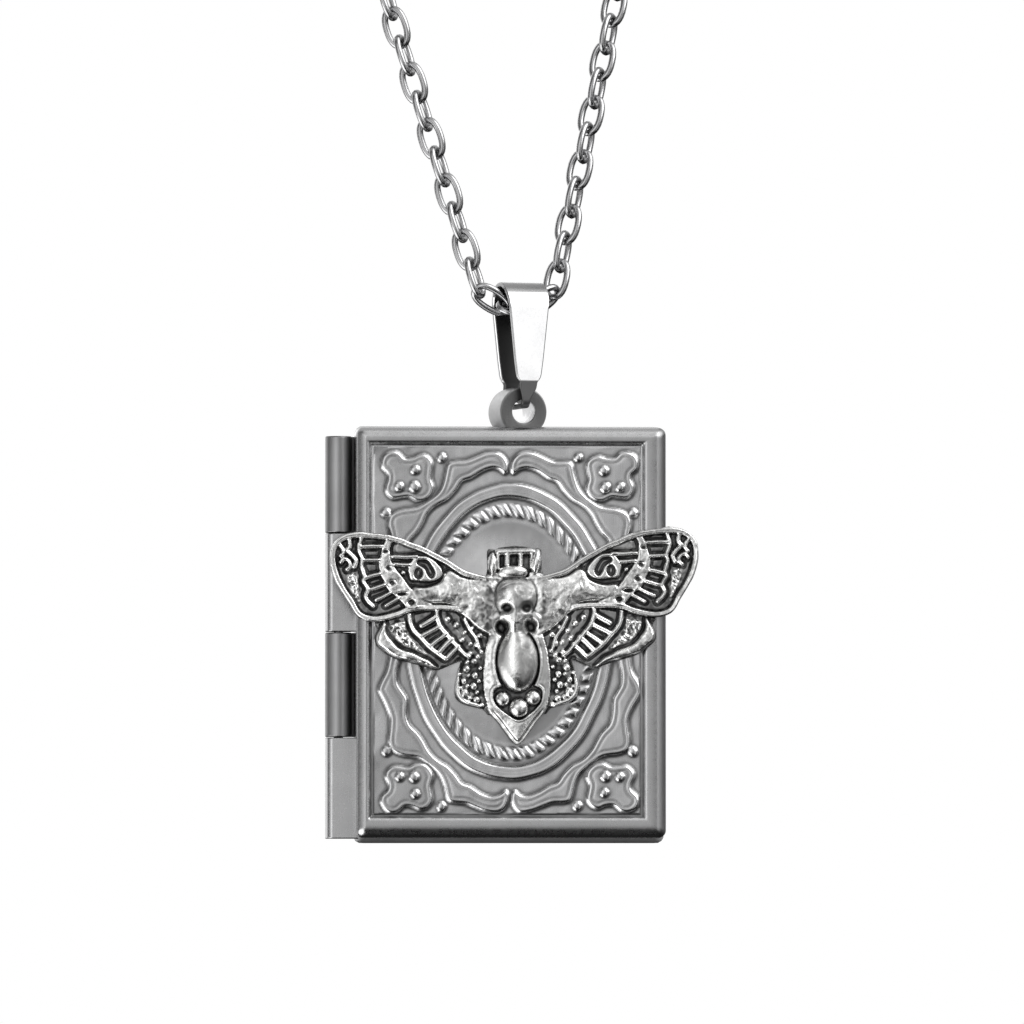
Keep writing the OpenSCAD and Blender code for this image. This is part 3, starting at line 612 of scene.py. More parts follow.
def turned_up(outline, hole, low, high, bevel):
    """A prism with a through hole and flat ends filled between outline and hole.

    Both loops run from low to high as rings, with a small bevel at each end.
    """
    levels = [
        (low, bevel), (low + 0.3 * bevel, 0.3 * bevel), (low + bevel, 0),
        (high - bevel, 0), (high - 0.3 * bevel, 0.3 * bevel), (high, bevel),
    ]
    points, faces, count = [], [], 0
    for loop in (outline, hole):
        for level, inset in levels:
            points.append(np.column_stack([offset_outline(loop, inset), np.full(len(loop), level)]))
        for k in range(len(levels) - 1):
            a = count + k * len(loop) + np.arange(len(loop))
            faces.append(np.stack([a, np.roll(a, -1), np.roll(a, -1) + len(loop), a + len(loop)], axis=1))
        count += len(levels) * len(loop)
    points = np.concatenate(points)
    first, last = len(outline), len(levels) * len(outline)
    for k in (0, len(levels) - 1):
        outer = k * first + np.arange(first)
        inner = last + k * len(hole) + np.arange(len(hole))
        loops = [[(*points[i, :2], 0) for i in outer], [(*points[i, :2], 0) for i in inner]]
        numbers = np.concatenate([outer, inner])
        faces.append(numbers[np.array(tessellate_polygon(loops))])
    return points, faces


def merged(shapes):
    """Several shapes' points and faces as one."""
    points, faces, count = [], [], 0
    for shape_points, shape_faces in shapes:
        points.append(shape_points)
        faces += [f + count for f in shape_faces]
        count += len(shape_points)
    return np.concatenate(points), faces


def knuckle_outline(front):
    """Section of a knuckle with its leaf, front or back.

    It runs from the leaf's end along its flat face and round a corner's arc, then along the
    circle back to the leaf's inner side.
    """
    corner = np.radians(np.linspace(-90, -170, 12))
    back = np.radians(np.linspace(190, -40, 30))
    outline = np.concatenate([
        [[LEAF_END, -KNUCKLE_R]],
        np.array(CORNER_AT) + CORNER_ARC * np.stack([np.cos(corner), np.sin(corner)], axis=1),
        KNUCKLE_R * np.stack([np.cos(back), np.sin(back)], axis=1),
        [[LEAF_END, LEAF_T - KNUCKLE_R]],
    ])[::-1]
    return outline if front else (outline * [1, -1])[::-1]


def knuckle_row(front):
    """Two knuckles of one half of the hinge, and how dark they are: black at their cut ends."""
    first = 1 if front else 0
    bore = circle(PIN_R + (FRONT_PLAY if front else BACK_PLAY), PIN_SIDES)[::-1]
    spans = [(knuckle_edges[k + 1] + KNUCKLE_GAP, knuckle_edges[k] - KNUCKLE_GAP) for k in (first, first + 2)]
    points, faces = merged([turned_up(knuckle_outline(front), bore, low, high, BEVEL) for low, high in spans])
    # Painted shade: black on the cut ends, where the gaps between knuckles lie in shadow; grey on the front
    # knuckles, and on the back ones darker toward the pan beside them
    to_end = np.abs(points[:, 2:] - [knuckle_edges]).min(axis=1)
    grey = 0.17 if front else 0.49 + 0.41 * ramp(points[:, 0], 0.35, 0.95)
    return points, faces, np.maximum(grey, to_end < END_SHADOW_LENGTH)


def stacked_rings(levels, sides):
    """A turned solid along Z: circles of (place, radius), joined by bands and closed by flat ends."""
    ring = np.arange(sides)
    circles = [np.column_stack([circle(radius, sides), np.full(sides, at)]) for at, radius in levels]
    band = np.stack([ring, np.roll(ring, -1), np.roll(ring, -1) + sides, ring + sides], axis=1)
    bands = [band + sides * k for k in range(len(levels) - 1)]
    ends = [ring[None, :], ring[None, :] + sides * (len(levels) - 1)]
    return np.concatenate(circles), bands + ends


hinge_centre = locket_centre - [HINGE_TO_CENTRE, 0, 0]
for name, body, node, front in (
    ("front_knuckles", "cover", "cover_front", True), ("back_knuckles", "locket", "cover_back", False),
):
    row_points, row_faces, row_shade = knuckle_row(front)
    add_piece(
        name, row_points + hinge_centre, row_faces, cover_steel, body, node, row_shade, sharp=14
    )

pin_low, pin_high = knuckle_edges[-1] + PIN_SHORT, knuckle_edges[0] - PIN_SHORT
pin_levels = [
    (pin_low, PIN_END_R), (pin_low + BEVEL, PIN_R), (pin_high - BEVEL, PIN_R), (pin_high, PIN_END_R),
]
pin_points, pin_faces = stacked_rings(pin_levels, PIN_SIDES)
pin_points = pin_points + hinge_centre
add_piece("turned_pin", pin_points, pin_faces, cover_steel, "locket", "hinge_pin")

# BACK COVER
# The same pressed pan with a plain field, a little taller than the front half. A rim
# that the front half closes over lines it, and the turned lug is soldered on its top.

BACK_HALF_H, BACK_LOWER_STRETCH = 17.45, 1.0165
BACK_COLUMNS, BACK_ROWS, PILLOW = 60, 80, 0.06
back_wall_profile = [
    (0, -1.2, 0.65), (0, -0.12, 0.65), (0.03, -0.05, 0.62), (0.1, -0.03, 0.55), (0.79, -0.03, 0.03),
    (0.82, -0.01, 0), (0.82, 0.44, 0), (0.86, 0.49, 0), (0.92, 0.5, 0), (1.07, 0.5, 0), (1.13, 0.49, 0),
    (1.17, 0.44, 0), (1.17, -2.0, 0), (1.21, -2.11, 0), (1.32, -2.15, 0), (1.42, -2.15, 0), (1.52, -2.15, 0),
]


def plain_height(x, z):
    """A plain field, very slightly pillowed: smooth steps in from both pairs of sides, multiplied."""
    return PILLOW * ramp(11.3 - np.abs(x), 0, 9) * ramp(15.5 - np.abs(z), 0, 12)


back_points, back_faces = pan_shell(
    HALF_W, BACK_HALF_H, BACK_COLUMNS, BACK_ROWS, plain_height, border_profile, back_wall_profile, (0, 0)
)
back_points = back_points * [-1, -1, 1]
back_points[:, 2] *= np.where(back_points[:, 2] < 0, BACK_LOWER_STRETCH, 1)
# Painted shade: an even grey all over, and the bottom edge dark, darker toward the back
back_shade = 0.9 * (back_points[:, 2] < -17.5) * ramp(back_points[:, 1], 0.2, 1.0)
back_shade = np.maximum(np.maximum(back_shade, 0.17), 0.83 * (back_points[:, 2] < -17.6))
add_piece(
    "back_shell", back_points + locket_centre, back_faces, cover_steel, "locket", "cover_back",
    back_shade,
)

LUG_X, LUG_Z, LUG_TURN, LUG_SIDES, LUG_SUNK = 0.7, 18.66, np.radians(15.5), 72, 0.12
lug_steel = metal(
    "cast_lug_steel", (0.8, 0.8, 0.805),
    roughness=0.26, extra_roughness=0.16, bump=0.8, wear_size=1.0, dark=0.14,
)
# Radius, place along the hole, painted shade: dark on the flat ends, half on the outside, none in the hole
lug_section = [
    (1.06, -1.6, 0.9), (1.16, -1.62, 1), (1.92, -1.62, 1), (2.04, -1.58, 0.8), (2.08, -1.48, 0.5),
    (2.08, 1.48, 0.5), (2.04, 1.58, 0.8), (1.92, 1.62, 1), (1.16, 1.62, 1), (1.06, 1.6, 0.8),
    (1.0, 1.5, 0), (1.0, -1.5, 0),
]


def closed_sweep(rings, around):
    """Four-sided faces of rings of points, each ring joined to the next and the last to the first."""
    i, j = np.meshgrid(np.arange(rings), np.arange(around), indexing="ij")
    after_i, after_j = (i + 1) % rings, (j + 1) % around
    corners = [i * around + j, i * around + after_j, after_i * around + after_j, after_i * around + j]
    return np.stack(corners, axis=-1).reshape(-1, 4)


def turn_matrix(first, second, angle):
    """A turn by an angle from one axis toward another, or many turns by an array of angles."""
    matrix = np.zeros((*np.shape(angle), 3, 3)) + np.eye(3)
    matrix[..., first, first] = matrix[..., second, second] = np.cos(angle)
    matrix[..., second, first] = np.sin(angle)
    matrix[..., first, second] = -np.sin(angle)
    return matrix


def lug_shape():
    """A turned tube with its hole along Y, cut off flat below so that it stands on the cover."""
    a = np.linspace(0, 2 * np.pi, LUG_SIDES, endpoint=False)
    to_cover = (LUG_Z - (BACK_HALF_H - LUG_SUNK)) / np.maximum(-np.sin(a), 1e-6)
    radius, along, dark = (np.array(column)[:, None] for column in zip(*lug_section))
    r = np.minimum(radius, to_cover)
    points = np.stack([r * np.cos(a), np.broadcast_to(along, r.shape), r * np.sin(a)], axis=-1)
    darkness = np.broadcast_to(dark, r.shape).ravel()
    return points.reshape(-1, 3), [closed_sweep(*r.shape)], darkness


lug_points, lug_faces, lug_shade = lug_shape()
lug_turned = turn_matrix(0, 1, LUG_TURN)
lug_place = locket_centre + [LUG_X, 0, 0]
lug_points = lug_points @ lug_turned.T + lug_place + [0, 0, LUG_Z]
add_piece(
    "lug_tube", lug_points, lug_faces, lug_steel, "locket", "cover_back", lug_shade, sharp=14
)

# MOTH
# A flat casting of a death's-head moth soldered over the front cover: ribbed wings
# with raised rims, a skull on the thorax, a smooth oval abdomen in a leaf-shaped
# rim, and three beads above its tip. It is plated, blackened and rubbed bright.

antique_silver = metal(
    "antiqued_cast_silver", (0.95, 0.95, 0.94),
    roughness=0.17, extra_roughness=0.14, bump=0.25, wear_size=2.0, dark=0.05,
)

# Outlines of the right half, each point across from the middle and up
forewing = [
    [-1, 4.6], [0, 4.6], [2.6, 4.75], [3.9, 5.15], [4.75, 5.6], [6.4, 6.6], [8.05, 7.45], [9.75, 8.1],
    [11.4, 8.5], [13.1, 8.55], [14.2, 8.35], [15.0, 7.95], [15.45, 7.35], [15.6, 6.6],
    [15.5, 5.7], [15.15, 4.6], [14.65, 3.6], [14.0, 2.65], [13.5, 1.8], [13.0, 1.3],
    [12.3, 1.08], [11.1, 1.1], [9.95, 1.4], [8.95, 1.75], [7.75, 1.92], [6.15, 1.9],
    [4.95, 1.75], [4.3, 1.3], [3.4, 0.4], [2.0, -0.2], [0, -0.2], [-1, -0.2],
]
hindwing = [
    [2.0, 1.9], [11.1, 1.3], [11.6, 0.4], [11.9, -0.3], [11.85, -0.9], [11.4, -1.4], [10.75, -1.85],
    [9.9, -2.2], [8.9, -2.47], [8.05, -2.73], [7.2, -3.0], [6.65, -3.08], [6.05, -2.9],
    [5.35, -2.6], [4.7, -2.45], [4.87, -3.2], [5.15, -4.1], [5.25, -4.9], [5.05, -5.5],
    [4.45, -5.9], [3.65, -6.25], [2.9, -6.4], [2.0, -6.3],
]
leaf = [
    [-1, 1.9], [2.3, 1.9], [2.35, 0.2], [2.5, -1.0], [2.8, -2.4], [2.85, -4.0], [2.75, -5.4], [2.5, -6.3],
    [2.15, -6.95], [1.55, -7.7], [0.85, -8.7], [0.25, -9.4], [-0.25, -9.4], [-1, -8.5],
]
head = [
    [-1, 4.4], [2.1, 4.4], [2.25, 5.4], [2.3, 6.7], [2.1, 7.05], [1.6, 6.95], [1.35, 7.1], [0.4, 7.2],
    [-1, 7.15],
]
wing_band = [
    [10.8, 8.0], [11.15, 7.4], [11.3, 6.7], [11.5, 5.85], [11.4, 5.0], [11.1, 4.4], [10.75, 3.75],
    [10.05, 3.05], [9.4, 2.3], [9.05, 1.85], [6.7, 2.3], [7.45, 2.8], [8.1, 3.25], [8.8, 3.85],
    [9.3, 4.55], [9.8, 5.25], [10.2, 5.9], [10.35, 6.6], [10.4, 7.25], [10.15, 7.95],
]
wing_eye = [
    [8.4, 6.4], [7.6, 6.5], [6.95, 6.3], [6.4, 5.8], [6.05, 5.3], [6.05, 4.85], [6.45, 4.5],
    [7.05, 4.34], [8.05, 4.36], [8.8, 4.42], [9.05, 5.05], [9.1, 5.65],
]
eye_crescent = [
    [8.05, 6.05], [7.45, 6.05], [7.05, 5.6], [6.8, 5.1], [7.05, 4.7], [7.3, 4.95], [7.55, 5.45], [8.1, 5.8],
]
wing_root = [
    [8.7, 3.0], [8.75, 3.95], [7.6, 4.0], [6.4, 4.35], [5.9, 5.2], [5.2, 5.3], [4.3, 4.8], [3.2, 4.55],
    [2.5, 4.8], [1.0, 4.9], [1.0, -0.3], [2.0, -0.35], [3.0, 0.05], [3.9, 0.8], [4.6, 1.5], [5.3, 2.2],
    [6.4, 2.4], [7.4, 2.5],
]
wing_patch = [
    [14.25, 5.1], [13.5, 5.3], [13.1, 4.7], [12.95, 3.7], [12.95, 2.6], [13.4, 2.7], [14.0, 3.9],
]
wing_hollow = [
    [9.95, 7.65], [8.8, 7.5], [7.5, 7.0], [6.3, 6.3], [5.7, 5.6], [6.1, 6.0], [7.1, 6.7], [8.6, 6.78],
    [9.95, 6.75],
]
hind_band = [
    [11.1, 1.1], [11.55, 0.4], [11.85, -0.3], [11.8, -0.9], [11.35, -1.35], [10.75, -1.8],
    [9.9, -2.15], [8.9, -2.42], [8.05, -2.68], [7.2, -2.95], [6.65, -3.02], [6.7, -2.8], [7.0, -2.5],
    [7.4, -2.15], [8.05, -1.85], [8.7, -1.5], [9.4, -1.3], [9.9, -1.05], [10.4, -0.5], [10.85, 0.25],
    [10.8, 0.9],
]
hind_patch = [
    [10.65, 0.85], [9.35, 1.2], [9.1, 0.4], [8.65, -0.4], [8.05, -1.1], [7.3, -1.8], [8.0, -1.75],
    [8.7, -1.35], [9.35, -1.15], [10.05, -0.75], [10.65, 0.1],
]
# Ridges of the right half: width, points
ridges = [
    [0.28, [[12.9, 8.05], [13.1, 7.24], [12.8, 6.4], [12.95, 5.72], [12.6, 4.95], [12.7, 4.53],
            [12.35, 3.85], [12.55, 3.26], [12.4, 2.84], [11.95, 2.4]]],
    [0.26, [[12.9, 7.4], [11.2, 7.4]]],
    [0.26, [[12.85, 6.25], [11.4, 6.25]]],
    [0.26, [[12.6, 4.77], [11.4, 5.05]]],
    [0.26, [[12.35, 3.77], [11.0, 4.15]]],
    [0.26, [[11.7, 2.9], [10.5, 3.5]]],
    [0.26, [[10.9, 2.4], [9.9, 2.9]]],
    [0.3, [[13.9, 8.15], [13.85, 7.42], [14.05, 7.09], [13.6, 6.66], [13.35, 6.24], [13.55, 5.73]]],
    [0.28, [[14.75, 7.6], [14.45, 7.18], [14.4, 6.84], [14.65, 6.6]]],
    [0.28, [[14.65, 6.05], [14.35, 6.35], [13.95, 6.16], [13.9, 5.74], [14.15, 5.5]]],
    [0.24, [[10.2, 6.45], [8.2, 6.42]]],
    [0.22, [[10.1, 5.8], [8.9, 5.8]]],
    [0.32, [[8.95, 1.9], [8.95, 1.26], [8.65, 0.4], [8.1, -0.28], [7.45, -0.97], [6.8, -1.53], [5.95, -2.1]]],
    [0.32, [[6.6, 1.9], [6.65, 1.45], [6.3, 0.53], [5.7, -0.24], [5.0, -1.1], [4.45, -1.7], [4.0, -2.04]]],
    [0.34, [[7.9, 0.64], [6.8, 1.3]]],
    [0.34, [[7.95, -0.24], [6.55, 0.54]]],
    [0.34, [[7.2, -1.0], [5.8, -0.07]]],
    [0.34, [[6.55, -1.6], [5.35, -0.5]]],
    [0.34, [[5.85, -2.05], [4.85, -1.14]]],
    [0.3, [[4.8, -2.5], [4.95, -3.2], [5.05, -4.1], [5.0, -4.9], [4.7, -5.4], [4.0, -5.85], [3.2, -6.2]]],
    [0.22, [[4.3, 1.1], [3.9, 0.3], [3.4, -0.5], [3.1, -1.3]]],
]
# Beads of the right half: across, up, radius
seeds = [
    [9.45, 5.15, 0.2], [5.7, 1.15, 0.27], [5.0, 0.68, 0.27], [4.55, -0.6, 0.26], [3.3, -1.0, 0.3],
    [4.2, -3.1, 0.32], [3.6, -2.42, 0.26], [3.5, -3.65, 0.31], [3.6, -4.5, 0.33], [4.4, -5.1, 0.42],
    [3.4, -5.6, 0.31], [4.5, -4.1, 0.27], [3.05, -0.3, 0.26], [3.3, -2.0, 0.22], [3.3, -5.0, 0.2],
    [3.9, -1.75, 0.24], [3.85, -0.95, 0.2], [4.3, 0.05, 0.22], [4.1, -2.5, 0.2], [4.15, -4.5, 0.2],
    [3.95, -5.45, 0.24], [3.1, -3.0, 0.22], [3.15, -4.1, 0.2], [4.05, -3.65, 0.18], [3.0, -6.1, 0.24],
    [4.75, -4.65, 0.18], [2.95, -1.6, 0.2], [3.7, 0.35, 0.2], [4.75, -3.5, 0.17],
]
# Pits along the wing band, right and left alike: across, up, radius across, radius up, depth
band_pits = [
    [10.9, 6.95, 0.3, 0.12, 0.3], [10.65, 5.5, 0.25, 0.2, 0.22], [10.35, 4.3, 0.28, 0.22, 0.26],
    [9.55, 3.35, 0.42, 0.14, 0.4], [8.75, 2.65, 0.3, 0.24, 0.35],
]
# Bars of the head: width, points
head_bars = [
    [0.44, [[-1.4, 6.72], [1.5, 6.77]]],
    [0.4, [[-0.65, 5.4], [-0.62, 6.6]]],
    [0.36, [[0.48, 5.4], [0.5, 6.6]]],
    [0.2, [[-1.42, 5.4], [-1.42, 6.7]]],
    [0.22, [[1.38, 5.4], [1.45, 6.7]]],
]
bead_pit = [
    [-1.75, -4.7], [-2.0, -5.55], [-1.65, -6.25], [-0.8, -6.95], [0.1, -7.4], [1.0, -6.95], [1.8, -6.2],
    [2.1, -5.5], [1.9, -4.7], [0.1, -4.3],
]
# Across, up, radius
tip_beads = [[-1.22, -5.6, 0.64], [1.36, -5.55, 0.66], [0.14, -6.4, 0.84]]

CELL, HALF_SPAN, MOTH_LOW, MOTH_HIGH = 0.06, 15.9, -9.7, 8.8
FLOOR_H, RIM_H, EDGE_H, BAND_H, EYE_H, RIDGE_H, BAR_H = 0.5, 1.06, 0.42, 0.95, 0.94, 1.04, 1.1
PATCH_H, HOLLOW_H, PAD_RISE, RIDGE_FLARE = 0.82, 0.72, 0.17, 0.09
out = np.arange(0, HALF_SPAN, CELL)
up = np.arange(MOTH_LOW, MOTH_HIGH, CELL)


def rise_to(height, depth, top, shoulder):
    """Lifts a height from the floor to a top where a depth is positive, with a smooth shoulder."""
    return np.maximum(height, FLOOR_H + (top - FLOOR_H) * ramp(depth, -0.3 * shoulder, shoulder))


def ridge_height(x, z, width, points, top):
    """A rounded ridge along a line, the top of a circle section, and the distance outside it."""
    nearest = distance_squared(x, z, points)
    half = 0.5 * width + RIDGE_FLARE
    section = np.sqrt(np.clip(1 - nearest / half**2, 0, 1))
    return FLOOR_H + (top - FLOOR_H) * section, np.sqrt(nearest) - half


def wing_heights(x, z):
    """Heights of the right half over the moth's back, and depths inside its outline and four parts.

    On a low floor stand the rims, bands and ridges, low pads in the cells between them, and
    beads. Places waver a little first, as in a hand-cut master.
    """
    x = x + WAVER * strewn(x.shape, 7, 31) * ramp(x, 0.5, 3)
    z = z + WAVER * strewn(x.shape, 7, 32) * ramp(x, 0.5, 3)
    fore, hind, leaf_depth, head_depth, band, eye, root, hem = (
        depth_inside(x, z, smoothed(outline))
        for outline in (forewing, hindwing, leaf, head, wing_band, wing_eye, wing_root, hind_band)
    )
    whole = np.maximum(np.maximum(fore, hind), np.maximum(leaf_depth, head_depth))
    eye = np.minimum(eye, -depth_inside(x, z, smoothed(eye_crescent)))
    eye = np.minimum(eye, -depth_in_oval(x - 8.15, z - 5.07, (0.3, 0.42)))
    root = blurred(root, 3)
    root_h = 0.96 + 0.18 * ramp(root, 0.0, 1.2)
    hem_h = 1.0 + 0.06 * ramp(hem, 0.1, 0.5) + 0.02 * strewn(x.shape, 3, 33)
    height = np.full(np.shape(x), FLOOR_H)
    free = np.full(np.shape(x), 9.0)
    raised = [(band, BAND_H, 0.14), (eye, EYE_H, 0.16), (hem, hem_h, 0.25), (root, root_h, 0.25)]
    for depth, top, shoulder in raised:
        height = rise_to(height, depth, top, shoulder)
        free = np.minimum(free, -depth)
    for width, points in ridges:
        lifted, outside = ridge_height(x, z, width, smoothed(points, 4, False), RIDGE_H)
        height = np.maximum(height, lifted)
        free = np.minimum(free, outside)
    rim = ramp(fore, -0.05, 0.05) * (1 - ramp(fore, 0.4, 0.56)) - 0.07 * line_mark(fore, 0.3, 0.05)
    rim = rim * (1 - ramp(4.9 - x, 0, 1.2) * ramp(2.6 - z, 0, 0.6))
    rim_height = FLOOR_H + (RIM_H - FLOOR_H) * np.clip(rim, 0, 1)
    height = np.where(fore > 0, np.maximum(height, rim_height), height)
    free = np.minimum(free, np.where(fore > 0, fore - 0.45, 9.0))
    pads = PAD_RISE * ramp(free, 0.12, 0.22) * (1 - ramp(free, 0.5, 0.8))
    height = np.where((fore > 0.5) | (hind > 0.2), np.maximum(height, FLOOR_H + pads), height)
    patches = np.maximum(depth_inside(x, z, smoothed(wing_patch)), depth_inside(x, z, smoothed(hind_patch)))
    height = rise_to(height, patches, PATCH_H, 0.3)
    height = rise_to(height, depth_inside(x, z, smoothed(wing_hollow)), HOLLOW_H, 0.2)
    for seed in seeds:
        bead = bead_height(x, z, *seed)
        height = np.maximum(height, (FLOOR_H + 0.2 + bead) * (bead > 0))
    return height, whole, {"leaf": leaf_depth, "root": root, "band": band, "patch": patches}


def both_halves(values):
    """A half's values with their mirror image on the left."""
    return np.concatenate([values[:, :0:-1], values], axis=1)


half_height, half_whole, half_depths = wing_heights(*np.meshgrid(out, up))
height, whole = both_halves(half_height), both_halves(half_whole)
depths = {key: both_halves(value) for key, value in half_depths.items()}
X, Z = np.meshgrid(np.concatenate([-out[:0:-1], out]), up)
pebbles, streaks, fine = (strewn(X.shape, size, seed) for size, seed in ((1.6, 3), (4.5, 5), (0.8, 7)))
rooty = ramp(depths["root"], 0.1, 0.5)


def bulge(cx, cz, rx, rz, low, high, power=0.5, square=2, x=X):
    """An oval dome from a low rim to a high middle; a higher square power fills out its corners."""
    inside = 1 - np.abs((x - cx) / rx) ** square - np.abs((Z - cz) / rz) ** square
    return np.where(inside > 0, low + (high - low) * np.clip(inside, 0, 1) ** power, 0)


def dent(cx, cz, rx, rz, depth, x=X):
    """A smooth oval hollow with a flat middle."""
    return depth * np.exp(-((((x - cx) / rx) ** 2 + ((Z - cz) / rz) ** 2) ** 1.5))


def spot(cx, cz, rx, rz, x=X):
    """An oval spot, 1 in its middle and fading all round: a Gaussian."""
    return np.exp(-(((x - cx) / rx) ** 2) - ((Z - cz) / rz) ** 2)


def blend_highest(first, second, reach):
    """The higher of two heights with the crease between them rounded over a reach."""
    h = np.clip(0.5 + 0.5 * (first - second) / reach, 0, 1)
    return second + (first - second) * h + reach * h * (1 - h)


def with_wing_grain(height):
    """The wings' roots and bands clouded, their patches pebbled, and pits sunk along the bands."""
    height = height + rooty * (0.03 * streaks + 0.01 * pebbles)
    height = height + ramp(depths["band"], 0.1, 0.25) * (0.012 * pebbles + 0.024 * streaks)
    height = height + 0.08 * ramp(depths["patch"], 0.0, 0.2) * pebbles
    for pit in band_pits:
        height = height - dent(*pit, x=np.abs(X))
    return height


def with_leaf(height):
    """The leaf-shaped plate below the thorax, with a grooved edge, and a lipped pit cut into it
    for the abdomen and the beads."""
    leafy = depths["leaf"]
    pit = np.maximum(depth_in_oval(X - 0.08, Z + 2.5, (1.88, 2.95)), depth_inside(X, Z, smoothed(bead_pit)))
    lip = 0.03 * line_mark(pit, -0.1, 0.08) - 0.04 * line_mark(pit, -0.25, 0.05)
    top = 0.98 + 0.15 * np.clip(leafy, 0, 0.95) + 0.014 * streaks + lip * ramp(-Z, 0.4, 1.2)
    top = top - 0.16 * line_mark(leafy, 0.3, 0.07) * ramp(-Z, 6.4, 7.0)
    pit_floor = 0.76 - 0.24 * ramp(X, 0, 1.5)
    pit_floor = pit_floor - (pit_floor - 0.45) * ramp(-Z, 4.1, 4.9)
    plate = top - (top - pit_floor) * ramp(pit, -0.04, 0.1)
    below_thorax = ramp(-Z, -0.2, 0.5)
    return np.where((leafy > 0) & (Z < 0.4), height * (1 - below_thorax) + below_thorax * plate, height)


def with_head(height):
    """The head's ladder of bars between two thick feelers, the right one leaning, over a collar."""
    for width, points in head_bars:
        height = np.maximum(height, ridge_height(X, Z, width, points, BAR_H)[0])
    height = np.maximum(height, bulge(-1.86, 5.7, 0.4, 1.0, 0.7, 1.35))
    height = np.maximum(height, bulge(1.78, 5.85, 0.42, 1.1, 0.6, 1.45, 0.4, x=X - 0.14 * (Z - 5.8)))
    return np.maximum(height, bulge(-0.16, 5.03, 1.26, 0.62, 0.8, 1.5, 0.45, 2.3))


SOCKETS = [(side * 0.84 + 0.07, 2.02) for side in (-1, 1)]


def skull_heights():
    """The skull: cranium, muzzle and cheeks as blended domes, with a brow, cheekbones, a nose
    ridge, a seam over the crown and two sockets."""
    skull = bulge(0.04, 2.95, 1.78, 1.68, 0.8, 1.95, 0.5, 2.4)
    skull = blend_highest(skull, bulge(0.0, 1.3, 1.35, 2.3, 0.7, 1.85, 0.45), 0.35)
    skull = blend_highest(skull, bulge(-1.5, 1.05, 0.8, 0.9, 0.6, 1.2), 0.5)
    skull = blend_highest(skull, bulge(1.6, 1.0, 0.88, 1.0, 0.6, 1.3), 0.5)
    beside = np.abs(X - 0.06)
    crown = 0.12 * spot(-0.35, 3.3, 0.6, 0.6)
    brow = 0.05 * spot(0.85, 2.68, 0.6, 0.3, beside)
    cheekbone = 0.07 * spot(0.9, 1.5, 0.45, 0.3, beside)
    nose = 0.15 * line_mark(X - 0.075 * Z, -0.24, 0.42) * ramp(2.9 - Z, 0, 0.8)
    seam = 0.056 * line_mark(Z + 0.28 * X**2, 4.05, 0.09) * (np.abs(X) < 1.5)
    skull = skull + (skull > 0) * (crown + brow + cheekbone + nose - seam)
    for socket in SOCKETS:
        skull = skull - dent(*socket, 0.42, 0.34, 0.55)
    return skull + 0.012 * streaks + 0.006 * pebbles


def abdomen_heights():
    """The abdomen: a half circle section as wide as an oval plan, blended into the neck above it."""
    lengthwise = np.clip(np.abs(Z + 2.45) / 2.62, 0, 1)
    sideways = np.abs(X - 0.1) / (1.8 * np.sqrt(1 - lengthwise**2) + 1e-6)
    abdomen = 0.6 + 1.3 * np.sqrt(np.clip(1 - sideways**2, 0, None) * (1 - lengthwise**3))
    abdomen = np.where(sideways < 1, abdomen, 0)
    return blend_highest(abdomen, bulge(-0.05, -0.3, 0.95, 1.1, 0.7, 1.75), 0.3)


height = with_head(with_leaf(with_wing_grain(height)))
skull, abdomen = skull_heights(), abdomen_heights()
height = blend_highest(height, np.where(skull > 0.6, skull, 0), 0.06)
height = np.where(abdomen > 0.55, blend_highest(height - 0.05, abdomen, 0.05), height)
for side in (-1, 1):
    hole_depth = 1.35 + 0.3 * streaks + 0.1 * pebbles
    height = height - hole_depth * spot(side * 1.2 + 0.1, 0.47, 0.42, 0.48, X + 0.1 * Z)
for bead in tip_beads:
    round_top = bead_height(X, Z, *bead)
    height = np.where(round_top > 0, 0.7 + round_top, height)
height = blurred(np.maximum(height, 0.3) + 0.004 * fine, 0.55)
from_edge = np.clip(whole / 0.1, 0, 1)
height = EDGE_H + (height - EDGE_H) * np.sqrt(1 - (1 - from_edge) ** 2)

# The cells that reach inside the outline are kept, and their outer corners move onto it
cell_in = (whole[:-1, :-1] + whole[1:, :-1] + whole[:-1, 1:] + whole[1:, 1:]) > 0
quads = sheet_grid(X.shape[1], X.shape[0])[cell_in.ravel()]
used = np.zeros(X.size, int)
np.add.at(used, quads.ravel(), 1)
on_rim = ((used > 0) & (used < 4)).reshape(X.shape)
grow_z, grow_x = np.gradient(whole, CELL)
slope = np.hypot(grow_x, grow_z) + 1e-6
shift_by = np.where(on_rim, whole, 0)
height = np.where(on_rim, EDGE_H, height)
place = [X - shift_by * grow_x / slope, -height, Z - shift_by * grow_z / slope]
top = np.stack([axis.ravel() for axis in place], axis=1)

# From the sides that only one cell has, a wall drops to the flat back
sides = np.concatenate([quads[:, [0, 1]], quads[:, [1, 2]], quads[:, [2, 3]], quads[:, [3, 0]]])
keys = np.sort(sides, axis=1)
_, first_seen, times = np.unique(keys[:, 0] * X.size + keys[:, 1], return_index=True, return_counts=True)
rim_sides = sides[first_seen[times == 1]]
top_used, rim_used = np.flatnonzero(used), np.unique(rim_sides)
top_numbers, low_numbers = np.full(X.size, -1), np.full(X.size, -1)
top_numbers[top_used] = np.arange(len(top_used))
low_numbers[rim_used] = len(top_used) + np.arange(len(rim_used))
moth_points = np.concatenate([top[top_used], top[rim_used] * [1, 0, 1]])
walls = np.column_stack([top_numbers[rim_sides], low_numbers[rim_sides[:, ::-1]]])
moth_faces = [top_numbers[quads], walls]


